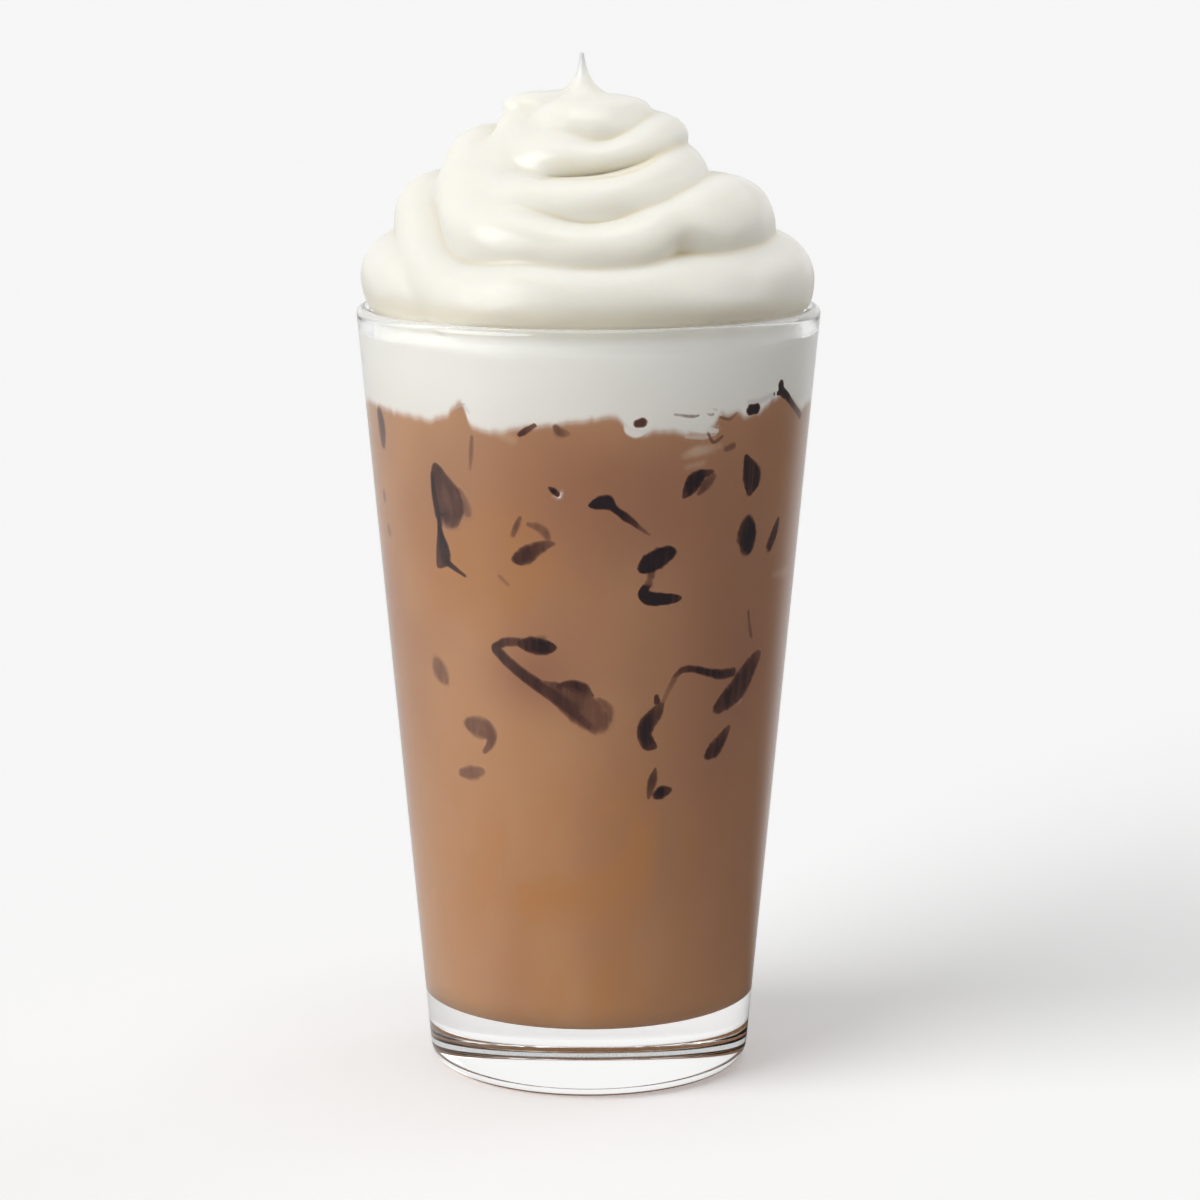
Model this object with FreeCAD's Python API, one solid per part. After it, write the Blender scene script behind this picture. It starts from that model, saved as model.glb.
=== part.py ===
import FreeCAD, Part
import math
import os

# Iced mocha in a tapered pint glass, topped with one spiral swirl of whipped cream.
# Millimetres, +Z up. The origin is the middle of the glass's foot, on the table.
# The side that is shown faces -Y. Azimuths run counterclockwise from +X.

# --- Glass -------------------------------------------------------------------
GLASS_HEIGHT = 149.2
RIM_RADIUS = 44.45          # outside, at the rim
BASE_RADIUS = 30.9          # outside, where the slanted wall meets the table
RIM_WALL = 2.8              # wall at the rim, which ends in a full round
FOOT_WALL = 3.3             # wall just above the floor
FLOOR_THICKNESS = 13.2      # heavy base, from the table to the drink
FLOOR_CORNER = 6.0          # inside corner between floor and wall
HEEL_RADIUS = 4.0           # outside corner at the table
BEARING_WIDTH = 4.5         # flat ring that the glass stands on
PUNT_DEPTH = 1.3            # hollow inside the bearing ring

# --- Drink and cream ---------------------------------------------------------
CREAM_DEPTH = 17.4          # cream below the rim, down to the drink, at the wall
DRINK_WAVE = 0.9            # unevenness of the level where drink and cream meet
WALL_FREE = 3.4             # from the rim down to where the cream meets the wall
RIM_CLEARANCE = 0.4         # between the swirl and the round of the rim

SWIRL_INSET = 1.05          # the widest turn stays this far inside the rim's outside
SWIRL_RISE = 48.0           # from the rim to the tip
LEAN = -0.0256              # the swirl's axis leans to -X, for each mm of rise
MELD = 0.45                 # rounding of the creases between turns
SOFT_MELD = 2.6             # more of it at the front left, where turns run together
DOME_MELD = 2.6             # and on the small dome under the point
TIP_RADIUS = 0.30           # of the drawn-out point
TIP_FLARE = 3.3             # rise over which the point grows e times as wide
CORE_RADIUS = 13.0          # the point widens down to this core
BED_RISE = 4.0              # the cream that the swirl lies on, above the wall contact
BED_ROUND = 12.0            # how far in from the wall the bed rounds off

# Turns of the swirl, which climbs clockwise seen from above. Each turn gives its
# reach and its height at the left, the right and the front, and then its section's
# half width and half height. Reaches and widths are shares of the swirl's radius,
# heights are shares of its rise above the rim.
TURNS = {
    -1: ((0.968, 0.017), (0.979, 0.017), (0.977, 0.038), (0.219, 0.177)),
    0: ((1.000, 0.106), (1.000, 0.100), (0.982, 0.050), (0.219, 0.200)),
    1: ((0.843, 0.346), (0.820, 0.329), (0.876, 0.292), (0.203, 0.183)),
    2: ((0.615, 0.542), (0.548, 0.498), (0.700, 0.428), (0.184, 0.170)),
    3: ((0.353, 0.690), (0.459, 0.672), (0.418, 0.598), (0.140, 0.096)),
    4: ((0.378, 0.700), (0.312, 0.700), (0.305, 0.696), (0.155, 0.106)),
    5: ((0.300, 0.700), (0.184, 0.700), (0.138, 0.700), (0.127, 0.096)),
}
START_TURN = -0.20
END_TURN = 5.0
START_FADE = 0.15           # part of a turn over which the rope swells at its start
END_FADE = 0.14             # and shrinks at its end
END_TAPER = 0.3             # section left at the two ends of the swirl
RIGHT = 0.50                # places within a turn, counted from the left
FRONT = 0.74
CLIMB = 0.85                # from here a turn climbs to the next one, at the left
CLOSE_IN = 0.82             # and from here it closes in

# Lumps in the rope of cream: place in turns, half length in turns, swelling of the
# section as a share of it, lift and push outwards in millimetres.
LUMPS = (
    (0.800, 0.030, 0.05, 0.5, 0.3),
    (1.575, 0.065, 0.10, 0.2, 1.3),
    (1.668, 0.022, -0.34, 2.5, -1.8),
    (1.745, 0.070, -0.26, -2.2, 0.0),
    (2.500, 0.060, -0.08, 0.0, 0.0),
    (2.740, 0.110, -0.18, 0.0, 0.0),
    (3.500, 0.070, -0.12, 0.0, 0.0),
    (3.720, 0.100, -0.38, 0.0, 0.0),
)

# --- Fineness of the swirl's surface -----------------------------------------
COLUMNS = 56                # around
ROWS = 44                   # from the wall up to the tip
PROBES = 240                # heights tried on each column before rows are spread

LIP_RADIUS = RIM_WALL / 2
LIP_CENTRE_R = RIM_RADIUS - LIP_RADIUS
LIP_CENTRE_Z = GLASS_HEIGHT - LIP_RADIUS
SWIRL_RADIUS = RIM_RADIUS - SWIRL_INSET
TIP_Z = GLASS_HEIGHT + SWIRL_RISE
CONTACT_Z = GLASS_HEIGHT - WALL_FREE
DRINK_Z = GLASS_HEIGHT - CREAM_DEPTH


def outer_radius(z):
    """Outside of the slanted wall at height z."""
    return BASE_RADIUS + (RIM_RADIUS - BASE_RADIUS) * z / LIP_CENTRE_Z


def inner_radius(z):
    """Inside of the slanted wall at height z."""
    share = (z - FLOOR_THICKNESS) / (LIP_CENTRE_Z - FLOOR_THICKNESS)
    wall = FOOT_WALL + (RIM_WALL - FOOT_WALL) * share
    return outer_radius(z) - wall


def point(radius, z):
    """A point of a profile, in the XZ plane."""
    return FreeCAD.Vector(radius, 0, z)


def rounded(before, corner, after, radius):
    """Two tangent points and the middle of the arc that rounds a profile's corner."""
    to_before = (before - corner).normalize()
    to_after = (after - corner).normalize()
    half = to_before.getAngle(to_after) / 2
    start = corner + to_before * (radius / math.tan(half))
    end = corner + to_after * (radius / math.tan(half))
    inwards = (to_before + to_after).normalize()
    middle = corner + inwards * (radius / math.sin(half) - radius)
    return start, middle, end


def cavity_corner():
    """The round between floor and wall, inside the glass."""
    corner = point(inner_radius(FLOOR_THICKNESS), FLOOR_THICKNESS)
    wall = point(inner_radius(LIP_CENTRE_Z), LIP_CENTRE_Z)
    return rounded(point(0, FLOOR_THICKNESS), corner, wall, FLOOR_CORNER)


def line(start, end):
    return Part.LineSegment(start, end).toShape()


def arc(start, middle, end):
    return Part.Arc(start, middle, end).toShape()


def revolved(edges):
    """A solid of revolution from the edges of a closed profile."""
    face = Part.Face(Part.Wire(edges))
    return face.revolve(FreeCAD.Vector(0, 0, 0), FreeCAD.Vector(0, 0, 1), 360)


def glass():
    """Slanted wall with a round rim, heavy base, heel and shallow punt."""
    rim_out = point(RIM_RADIUS, LIP_CENTRE_Z)
    rim_top = point(LIP_CENTRE_R, GLASS_HEIGHT)
    rim_in = point(RIM_RADIUS - RIM_WALL, LIP_CENTRE_Z)
    heel = rounded(point(0, 0), point(BASE_RADIUS, 0), rim_out, HEEL_RADIUS)
    corner_floor, corner_middle, corner_wall = cavity_corner()
    bearing_inner = point(heel[0].x - BEARING_WIDTH, 0)
    punt_top = point(0, PUNT_DEPTH)
    punt_side = bearing_inner.x * math.sqrt(0.5)
    punt_middle = point(punt_side, PUNT_DEPTH / 2)
    floor_centre = point(0, FLOOR_THICKNESS)
    return revolved([
        arc(punt_top, punt_middle, bearing_inner),
        line(bearing_inner, heel[0]),
        arc(*heel),
        line(heel[2], rim_out),
        arc(rim_out, rim_top, rim_in),
        line(rim_in, corner_wall),
        arc(corner_wall, corner_middle, corner_floor),
        line(corner_floor, floor_centre),
        line(floor_centre, punt_top),
    ])


def cavity():
    """The inside of the glass, filled up to where the cream leaves the wall."""
    corner_floor, corner_middle, corner_wall = cavity_corner()
    floor_centre = point(0, FLOOR_THICKNESS)
    wall_top = point(inner_radius(CONTACT_Z), CONTACT_Z)
    top_centre = point(0, CONTACT_Z)
    return revolved([
        line(floor_centre, corner_floor),
        arc(corner_floor, corner_middle, corner_wall),
        line(corner_wall, wall_top),
        line(wall_top, top_centre),
        line(top_centre, floor_centre),
    ])


def drink_level(x, y):
    """Height at which drink and cream meet: level, with low rolling waves."""
    across = x / RIM_RADIUS
    along = y / RIM_RADIUS
    wave = 0.55 * math.sin(4.1 * across + 1.3 * along + 0.6)
    wave += 0.45 * math.sin(7.3 * across - 3.7 * along + 2.1)
    return DRINK_Z + DRINK_WAVE * wave + 0.5 * DRINK_WAVE * across


def below_drink_level():
    """Everything under the uneven level between drink and cream."""
    steps = 20
    side = RIM_RADIUS * 1.1
    grid = []
    for i in range(steps + 1):
        x = side * (2 * i / steps - 1)
        ys = [side * (2 * j / steps - 1) for j in range(steps + 1)]
        grid.append([FreeCAD.Vector(x, y, drink_level(x, y)) for y in ys])
    surface = Part.BSplineSurface()
    surface.interpolate(grid)
    down = FreeCAD.Vector(0, 0, -GLASS_HEIGHT)
    return surface.toShape().extrude(down)


def ramp(value, low, high):
    """0 below low, 1 above high, and a smooth rise between them."""
    share = min(max((value - low) / (high - low), 0.0), 1.0)
    return share * share * (3 - 2 * share)


def between(turn, place, quantity):
    """A turn's reach (0) or height (1) at a place within it, as a share."""
    left, right, front, _ = TURNS[turn]
    next_left = TURNS[turn + 1][0]
    leave = CLIMB if quantity == 1 else CLOSE_IN
    value = left[quantity]
    value += (right[quantity] - left[quantity]) * ramp(place, 0.0, RIGHT)
    value += (front[quantity] - right[quantity]) * ramp(place, RIGHT, FRONT)
    value += (next_left[quantity] - front[quantity]) * ramp(place, leave, 1.0)
    return value


def section(turn, place):
    """Centre radius, centre height, half width and half height of the rope of cream."""
    along = turn + place
    widths = TURNS[turn][3]
    next_widths = TURNS[turn + 1][3]
    change = ramp(place, RIGHT, 1.0)
    half_width = SWIRL_RADIUS * (widths[0] + (next_widths[0] - widths[0]) * change)
    half_height = SWIRL_RISE * (widths[1] + (next_widths[1] - widths[1]) * change)
    reach = SWIRL_RADIUS * between(turn, place, 0)
    height = GLASS_HEIGHT + SWIRL_RISE * between(turn, place, 1)
    for at, half_length, swell, lift, push in LUMPS:
        weight = math.exp(-((along - at) / half_length) ** 2)
        half_width *= 1 + swell * weight
        half_height *= 1 + swell * weight
        reach += push * weight
        height += lift * weight
    start = ramp(along, START_TURN, START_TURN + START_FADE)
    end = 1 - ramp(along, END_TURN - END_FADE, END_TURN)
    taper = END_TAPER + (1 - END_TAPER) * start * end
    return reach - half_width, height, half_width * taper, half_height * taper


def sections_at(place):
    """The bed's section, and the rope's sections that an upright half plane cuts."""
    bed_radius = inner_radius(CONTACT_Z) - RIM_CLEARANCE - BED_ROUND
    sections = [(bed_radius, CONTACT_Z, BED_ROUND, BED_RISE)]
    for turn in TURNS:
        if START_TURN <= turn + place <= END_TURN and turn + 1 in TURNS:
            sections.append(section(turn, place))
    return sections


def core_radius(z):
    """The drawn-out point, which flares down into the core of the swirl."""
    flare = TIP_RADIUS * math.exp((TIP_Z - z) / TIP_FLARE)
    return CORE_RADIUS * (1 - math.exp(-flare / CORE_RADIUS))


def meld(place, z):
    """How softly the turns run into each other at this place and height."""
    rise = (z - GLASS_HEIGHT) / SWIRL_RISE
    front_left = ramp(place, 0.68, 0.84) * (1 - ramp(place, 0.93, 1.0))
    upper = ramp(rise, 0.35, 0.55) * (1 - 0.7 * ramp(rise, 0.60, 0.73))
    softness = MELD + (SOFT_MELD - MELD) * front_left * upper
    return softness + (DOME_MELD - softness) * ramp(rise, 0.74, 0.82)


def depth_outside(radius, z, sections, softness):
    """Rounded union of the sections and the core: above 0 outside, below 0 inside."""
    total = math.exp(-(radius - core_radius(z)) / softness)
    for centre_r, centre_z, half_width, half_height in sections:
        across = (radius - centre_r) / half_width
        up = (z - centre_z) / half_height
        size = math.hypot(across, up)
        slope = math.hypot(across / half_width, up / half_height)
        distance = size * (size - 1) / max(slope, 1e-6)
        total += math.exp(-min(distance / softness, 60.0))
    return -softness * math.log(total)


def first_radius(z, sections):
    """The outermost radius that any single section or the core reaches."""
    best = core_radius(z)
    for centre_r, centre_z, half_width, half_height in sections:
        up = (z - centre_z) / half_height
        if abs(up) < 1:
            best = max(best, centre_r + half_width * math.sqrt(1 - up * up))
    return best


def rim_limit(z):
    """The widest that the swirl may be inside the rim, and free above it."""
    if z < LIP_CENTRE_Z:
        return inner_radius(z) - RIM_CLEARANCE
    if z < GLASS_HEIGHT + RIM_CLEARANCE:
        radius = LIP_RADIUS + RIM_CLEARANCE
        return LIP_CENTRE_R - math.sqrt(max(radius ** 2 - (z - LIP_CENTRE_Z) ** 2, 0))
    return 2 * RIM_RADIUS


def swirl_radius(place, z, sections):
    """Radius of the swirl at a place around it and a height, by halving."""
    softness = meld(place, z)
    inside = first_radius(z, sections)
    outside = inside + 4
    while depth_outside(outside, z, sections, softness) < 0:
        outside += 4
    for _ in range(14):
        middle = (inside + outside) / 2
        if depth_outside(middle, z, sections, softness) < 0:
            inside = middle
        else:
            outside = middle
    return min(inside, rim_limit(z))


def place_at(azimuth):
    """Place within a turn, from 0 to 1: 0 is the left, 0.5 the right, 0.75 the front."""
    return (0.5 - azimuth / (2 * math.pi)) % 1.0


def even_heights(azimuth):
    """Heights up one side of the swirl that are spread evenly along its outline."""
    place = place_at(azimuth)
    sections = sections_at(place)
    heights = [CONTACT_Z + (TIP_Z - CONTACT_Z) * i / PROBES for i in range(PROBES)]
    radii = [swirl_radius(place, z, sections) for z in heights]
    lengths = [0.0]
    for i in range(1, PROBES):
        step = math.hypot(radii[i] - radii[i - 1], heights[i] - heights[i - 1])
        lengths.append(lengths[-1] + step)
    even = []
    index = 0
    for row in range(ROWS):
        target = lengths[-1] * row / (ROWS - 1)
        while index < PROBES - 2 and lengths[index + 1] < target:
            index += 1
        share = (target - lengths[index]) / (lengths[index + 1] - lengths[index])
        even.append(heights[index] + (heights[index + 1] - heights[index]) * share)
    return even


def levelled(columns):
    """Heights of every column averaged with its neighbours', so that rows run smoothly."""
    reach = 3
    weights = [math.exp(-(k / 1.7) ** 2) for k in range(-reach, reach + 1)]
    total = sum(weights)
    result = []
    for i in range(COLUMNS):
        near = [columns[(i + k) % COLUMNS] for k in range(-reach, reach + 1)]
        result.append([sum(w * z for w, z in zip(weights, row)) / total for row in zip(*near)])
    return result


def column(azimuth, heights):
    """Points up one side of the swirl, at these heights."""
    place = place_at(azimuth)
    sections = sections_at(place)
    points = []
    for z in heights:
        radius = swirl_radius(place, z, sections)
        x = radius * math.cos(azimuth) + LEAN * max(z - GLASS_HEIGHT, 0)
        points.append(FreeCAD.Vector(x, radius * math.sin(azimuth), z))
    return points


def swirl():
    """The swirl above the wall contact: one smooth surface on a flat bottom."""
    tip = FreeCAD.Vector(LEAN * SWIRL_RISE, 0, TIP_Z)
    azimuths = [2 * math.pi * i / COLUMNS for i in range(COLUMNS)]
    heights = levelled([even_heights(azimuth) for azimuth in azimuths])
    poles = [column(a, rows) + [tip] for a, rows in zip(azimuths, heights)]
    degree = 3
    spans = ROWS + 1 - degree
    row_counts = [degree + 1] + [1] * (spans - 1) + [degree + 1]
    surface = Part.BSplineSurface()
    surface.buildFromPolesMultsKnots(
        poles, [1] * (COLUMNS + 1), row_counts, list(range(COLUMNS + 1)),
        list(range(spans + 1)), True, False, degree, degree)
    side = surface.toShape()
    rims = [edge for edge in side.Edges if edge.BoundBox.ZMax < CONTACT_Z + 0.01]
    bottom = Part.Face(Part.Wire(rims))
    bottom.reverse()
    return Part.Solid(Part.Shell([side, bottom]))


def main():
    os.makedirs("parts", exist_ok=True)
    inside = cavity()
    below = below_drink_level()
    mocha = inside.common(below)
    plug = inside.cut(below)
    cream = plug.fuse(swirl()).removeSplitter()
    nodes = {"glass": glass(), "mocha": mocha, "whipped_cream": cream}
    for name, shape in nodes.items():
        solid = shape.Solids[0]
        print(name, len(shape.Solids), shape.isValid(), round(solid.Volume / 1000, 2), "ml")
        solid.exportStep("parts/" + name + ".step")


main()
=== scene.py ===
"""Looks of the iced mocha: a clear pint glass, milky iced coffee and a swirl of whipped cream.

Metres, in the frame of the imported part: +Z up, the foot of the glass on the floor at the
origin, and the side that is shown towards -Y. Places on the glass wall are given as degrees
to the right of the front and millimetres above the table.
"""
import logging
import math
from collections.abc import Callable
from dataclasses import dataclass
from enum import Enum

import bmesh
import bpy
import numpy as np
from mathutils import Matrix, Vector


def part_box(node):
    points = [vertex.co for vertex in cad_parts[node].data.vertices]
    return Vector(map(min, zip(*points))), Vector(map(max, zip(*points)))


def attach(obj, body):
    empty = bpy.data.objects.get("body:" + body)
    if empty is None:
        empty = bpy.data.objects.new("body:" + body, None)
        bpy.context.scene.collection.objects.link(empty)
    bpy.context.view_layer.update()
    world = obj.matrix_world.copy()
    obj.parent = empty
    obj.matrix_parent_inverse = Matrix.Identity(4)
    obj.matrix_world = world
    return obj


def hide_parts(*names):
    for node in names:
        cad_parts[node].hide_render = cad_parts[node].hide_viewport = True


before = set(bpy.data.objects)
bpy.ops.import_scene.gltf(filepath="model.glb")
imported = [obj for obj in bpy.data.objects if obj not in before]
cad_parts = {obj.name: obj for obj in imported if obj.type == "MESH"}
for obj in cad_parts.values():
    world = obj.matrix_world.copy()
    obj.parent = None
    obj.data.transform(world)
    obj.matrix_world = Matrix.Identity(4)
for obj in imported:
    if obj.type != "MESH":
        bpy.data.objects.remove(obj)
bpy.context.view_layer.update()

LOG = logging.getLogger("iced_mocha")
MM = 0.001
EYE_DISTANCE = 0.7692    # from the axis to the camera, along the floor
EYE_HEIGHT = 0.2327      # of the camera, above the table
Colour = tuple[float, float, float]


# --- Mesh and node helpers ---------------------------------------------------------------


def ramp(value: np.ndarray, low: float, high: float) -> np.ndarray:
    """Smooth rise from 0 at low to 1 at high: 3 s^2 - 2 s^3 of the share s between them.

    Args:
        value: Numbers to grade.
        low: Where the rise starts.
        high: Where it ends.

    Returns:
        Numbers from 0 to 1, in the shape of value.
    """
    share = np.clip((value - low) / (high - low), 0.0, 1.0)
    return share * share * (3 - 2 * share)


def ring_faces(rows: int, columns: int, start: int = 0) -> np.ndarray:
    """Quads between stacked closed rings, wound so that they face away from the axis.

    Args:
        rows: How many rings.
        columns: Points in each ring, counterclockwise seen from above.
        start: Index of the first point.

    Returns:
        Indices, one row of four for each quad.
    """
    row = np.arange(rows - 1)[:, None] * columns
    here = np.arange(columns)[None, :]
    after = (here + 1) % columns
    quads = np.stack([row + here, row + after, row + columns + after, row + columns + here], -1)
    return start + quads.reshape(-1, 4)


def shell_object(name: str, rings: np.ndarray, first: Vector, last: Vector,
                 values: dict[str, np.ndarray] | None = None) -> bpy.types.Object:
    """A closed surface: rings of points, shut by a pole point before and after them.

    Args:
        name: Piece name.
        rings: Points, shaped (rows, columns, 3).
        first: Pole before the first ring.
        last: Pole after the last ring.
        values: Numbers for each ring point, kept as point attributes of these names.

    Returns:
        The linked object, smooth shaded, at the origin.
    """
    rows, columns, _ = rings.shape
    points = np.vstack([rings.reshape(-1, 3), [tuple(first)], [tuple(last)]])
    here = np.arange(columns)
    after = (here + 1) % columns
    low_pole = np.full(columns, rows * columns)
    top = (rows - 1) * columns
    faces = ring_faces(rows, columns).tolist()
    faces += np.stack([after, here, low_pole], -1).tolist()
    faces += np.stack([top + here, top + after, low_pole + 1], -1).tolist()
    mesh = bpy.data.meshes.new(name)
    mesh.from_pydata(points.tolist(), [], faces)
    for key, value in (values or {}).items():
        full = np.concatenate([value.reshape(-1), [value[0].mean()], [value[-1].mean()]])
        attribute = mesh.attributes.new(key, "FLOAT", "POINT")
        attribute.data.foreach_set("value", full.astype(np.float32))
    return linked(name, mesh)


def linked(name: str, mesh: bpy.types.Mesh) -> bpy.types.Object:
    """Smooth-shaded object of a mesh, in the scene's collection, at the origin.

    Args:
        name: Object name.
        mesh: Its mesh.

    Returns:
        The object.
    """
    mesh.polygons.foreach_set("use_smooth", np.ones(len(mesh.polygons), dtype=bool))
    mesh.update()
    piece = bpy.data.objects.new(name, mesh)
    bpy.context.scene.collection.objects.link(piece)
    return piece


def around(columns: int) -> np.ndarray:
    """Azimuths of one closed ring, in radians counterclockwise from +X."""
    return np.linspace(0.0, 2 * math.pi, columns, endpoint=False)


def front_degrees(azimuth: np.ndarray) -> np.ndarray:
    """Azimuth in radians to degrees to the right of the front, from -180 to 180."""
    return (np.degrees(azimuth) + 90 + 180) % 360 - 180


class Shader:
    """One material with a Principled shader, and short calls that add and link its nodes."""

    def __init__(self, name: str) -> None:
        """Starts the material.

        Args:
            name: Material name.
        """
        self.material = bpy.data.materials.new(name)
        self.material.use_nodes = True
        self.tree = self.material.node_tree
        self.principled = self.tree.nodes["Principled BSDF"]

    def set(self, **sockets: object) -> None:
        """Sets Principled sockets, named with underscores for their spaces."""
        for key, value in sockets.items():
            self.principled.inputs[key.replace("_", " ")].default_value = value

    def node(self, kind: str, **settings: object) -> bpy.types.Node:
        """Adds a node and sets its properties.

        Args:
            kind: Node type.
            settings: Properties to set on it.

        Returns:
            The node.
        """
        node = self.tree.nodes.new(kind)
        for key, value in settings.items():
            setattr(node, key, value)
        return node

    def link(self, source: bpy.types.NodeSocket, target: bpy.types.NodeSocket) -> None:
        """Links an output to an input."""
        self.tree.links.new(source, target)

    def place(self, scale: tuple[float, float, float]) -> bpy.types.NodeSocket:
        """Object coordinates, scaled along each axis.

        Args:
            scale: Factor along each axis.

        Returns:
            The scaled coordinates' socket.
        """
        coordinates = self.node("ShaderNodeTexCoord")
        mapping = self.node("ShaderNodeMapping")
        mapping.inputs["Scale"].default_value = scale
        self.link(coordinates.outputs["Object"], mapping.inputs["Vector"])
        return mapping.outputs["Vector"]

    def noise(self, scale: tuple[float, float, float], detail: float = 3.0,
              roughness: float = 0.5, distortion: float = 0.0) -> bpy.types.NodeSocket:
        """Noise over the piece, in features per metre along each axis.

        Args:
            scale: Features per metre along X, Y and Z.
            detail: Octaves.
            roughness: Weight of the finer octaves.
            distortion: How far the pattern is swirled.

        Returns:
            The noise value, about 0.5 on average.
        """
        noise = self.node("ShaderNodeTexNoise")
        noise.inputs["Scale"].default_value = 1.0
        noise.inputs["Detail"].default_value = detail
        noise.inputs["Roughness"].default_value = roughness
        noise.inputs["Distortion"].default_value = distortion
        self.link(self.place(scale), noise.inputs["Vector"])
        return noise.outputs["Fac"]

    def attribute(self, name: str) -> bpy.types.NodeSocket:
        """A point attribute of the piece, as a number."""
        return self.node("ShaderNodeAttribute", attribute_name=name).outputs["Fac"]

    def grade(self, value: bpy.types.NodeSocket, low: float, high: float, to_low: float = 0.0,
              to_high: float = 1.0) -> bpy.types.NodeSocket:
        """Maps low..high smoothly onto to_low..to_high.

        Args:
            value: Socket of the value.
            low: Value that gives to_low.
            high: Value that gives to_high.
            to_low: Result at low and below.
            to_high: Result at high and above.

        Returns:
            The result's socket.
        """
        node = self.node("ShaderNodeMapRange", interpolation_type="SMOOTHSTEP")
        self.link(value, node.inputs["Value"])
        for key, number in (("From Min", low), ("From Max", high), ("To Min", to_low),
                            ("To Max", to_high)):
            node.inputs[key].default_value = number
        return node.outputs["Result"]

    def blend(self, share: bpy.types.NodeSocket, first: object,
              second: object) -> bpy.types.NodeSocket:
        """Mixes two colours, each a colour or a socket, by a share.

        Args:
            share: Socket of the share of the second.
            first: Colour at share 0.
            second: Colour at share 1.

        Returns:
            The mixed colour's socket.
        """
        node = self.node("ShaderNodeMix", data_type="RGBA")
        self.link(share, node.inputs["Factor"])
        for slot, value in ((6, first), (7, second)):
            if isinstance(value, bpy.types.NodeSocket):
                self.link(value, node.inputs[slot])
            else:
                node.inputs[slot].default_value = (*value, 1.0)
        return node.outputs[2]

    def product(self, first: bpy.types.NodeSocket,
                second: bpy.types.NodeSocket) -> bpy.types.NodeSocket:
        """Two numbers multiplied.

        Args:
            first: Socket of one number.
            second: Socket of the other.

        Returns:
            The product's socket.
        """
        node = self.node("ShaderNodeMath", operation="MULTIPLY")
        self.link(first, node.inputs[0])
        self.link(second, node.inputs[1])
        return node.outputs[0]

    def bump(self, height: bpy.types.NodeSocket, depth: float, strength: float) -> None:
        """Raises the surface by a height pattern, depth metres at full height.

        Args:
            height: Socket of the pattern.
            depth: Metres at full height.
            strength: Share of the effect, 0 to 1.
        """
        node = self.node("ShaderNodeBump")
        node.inputs["Distance"].default_value = depth
        node.inputs["Strength"].default_value = strength
        self.link(height, node.inputs["Height"])
        self.link(node.outputs["Normal"], self.principled.inputs["Normal"])


# --- Finishes ----------------------------------------------------------------------------


@dataclass(frozen=True)
class ClearGlass:
    """Clear soda-lime glass, with a trace of grey-green in its thickness."""

    tint: Colour = (0.998, 1.0, 0.998)
    ior: float = 1.5

    def material(self) -> bpy.types.Material:
        """Glass material.

        Returns:
            The material.
        """
        shader = Shader("clear_glass")
        shader.set(Base_Color=(*self.tint, 1.0), Roughness=0.0, IOR=self.ior,
                   Transmission_Weight=1.0)
        return shader.material


@dataclass(frozen=True)
class MilkyCoffee:
    """Chocolate milk coffee with what floats in it, coloured by the tones of the wall.

    The drink, its ice and its wisps share this finish, so that soft edges run into each other.
    """

    tan: Colour = (0.575, 0.318, 0.168)
    warm: Colour = (0.550, 0.262, 0.100)
    rosy: Colour = (0.400, 0.196, 0.120)
    pale: Colour = (0.800, 0.640, 0.480)
    cream: Colour = (0.955, 0.945, 0.890)
    # Lilac is painted shade in the thin hollows of the pressed cream.
    lilac: Colour = (0.560, 0.540, 0.600)
    # Veiled, brown and black are painted shade at the ice, from a veil of milk to nearly black.
    veiled: Colour = (0.215, 0.102, 0.064)
    brown: Colour = (0.088, 0.037, 0.028)
    black: Colour = (0.020, 0.011, 0.016)

    def material(self, name: str = "milky_coffee") -> bpy.types.Material:
        """Material of the drink, or under another name of a piece in it.

        Painted shade at the ice runs from the drink through a brown veil to nearly black, for
        the depth of the drink seen through clear ice, and is streaked upwards like the inside of ice.

        Args:
            name: Name of the material.

        Returns:
            The material.
        """
        shader = Shader(name)
        broad = shader.grade(shader.noise((30, 30, 17), 2.0, 0.5, 0.6), 0.38, 0.66, 0.0, 0.45)
        streaky = shader.grade(shader.noise((60, 60, 34), 3.0, 0.55, 1.2), 0.36, 0.66, 0.25, 1.0)
        colour = shader.blend(broad, self.tan, self.rosy)
        # Painted shade: this attribute darkens the drink's right side towards rosy, besides a rosy tint at
        # the upper front and the back.
        colour = shader.blend(shader.attribute("rose_and_shade"), colour, self.rosy)
        colour = shader.blend(shader.product(streaky, shader.attribute("warmth")), colour, self.warm)
        colour = shader.blend(shader.attribute("milk"), colour, self.pale)
        colour = shader.blend(shader.attribute("cream"), colour, self.cream)
        # Painted shade: lilac grey in thin hollows of the pressed cream.
        colour = shader.blend(shader.attribute("hollow"), colour, self.lilac)
        # Painted shade: where ice touches the glass the colour darkens to nearly black, for the depth of
        # the drink seen through it.
        streaks = shader.grade(shader.noise((520, 520, 60), 3.0, 0.6, 0.4), 0.35, 0.7, 1.08, 0.84)
        dark = shader.product(streaks, shader.attribute("dark"))
        colour = shader.blend(shader.grade(dark, 0.0, 0.5), colour, self.veiled)
        colour = shader.blend(shader.grade(dark, 0.36, 0.76), colour, self.brown)
        colour = shader.blend(shader.grade(dark, 0.72, 0.96), colour, self.black)
        shader.link(colour, shader.principled.inputs["Base Color"])
        shader.set(Roughness=0.55, Specular_IOR_Level=0.08, Sheen_Weight=0.12, Sheen_Roughness=0.6)
        return shader.material


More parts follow.
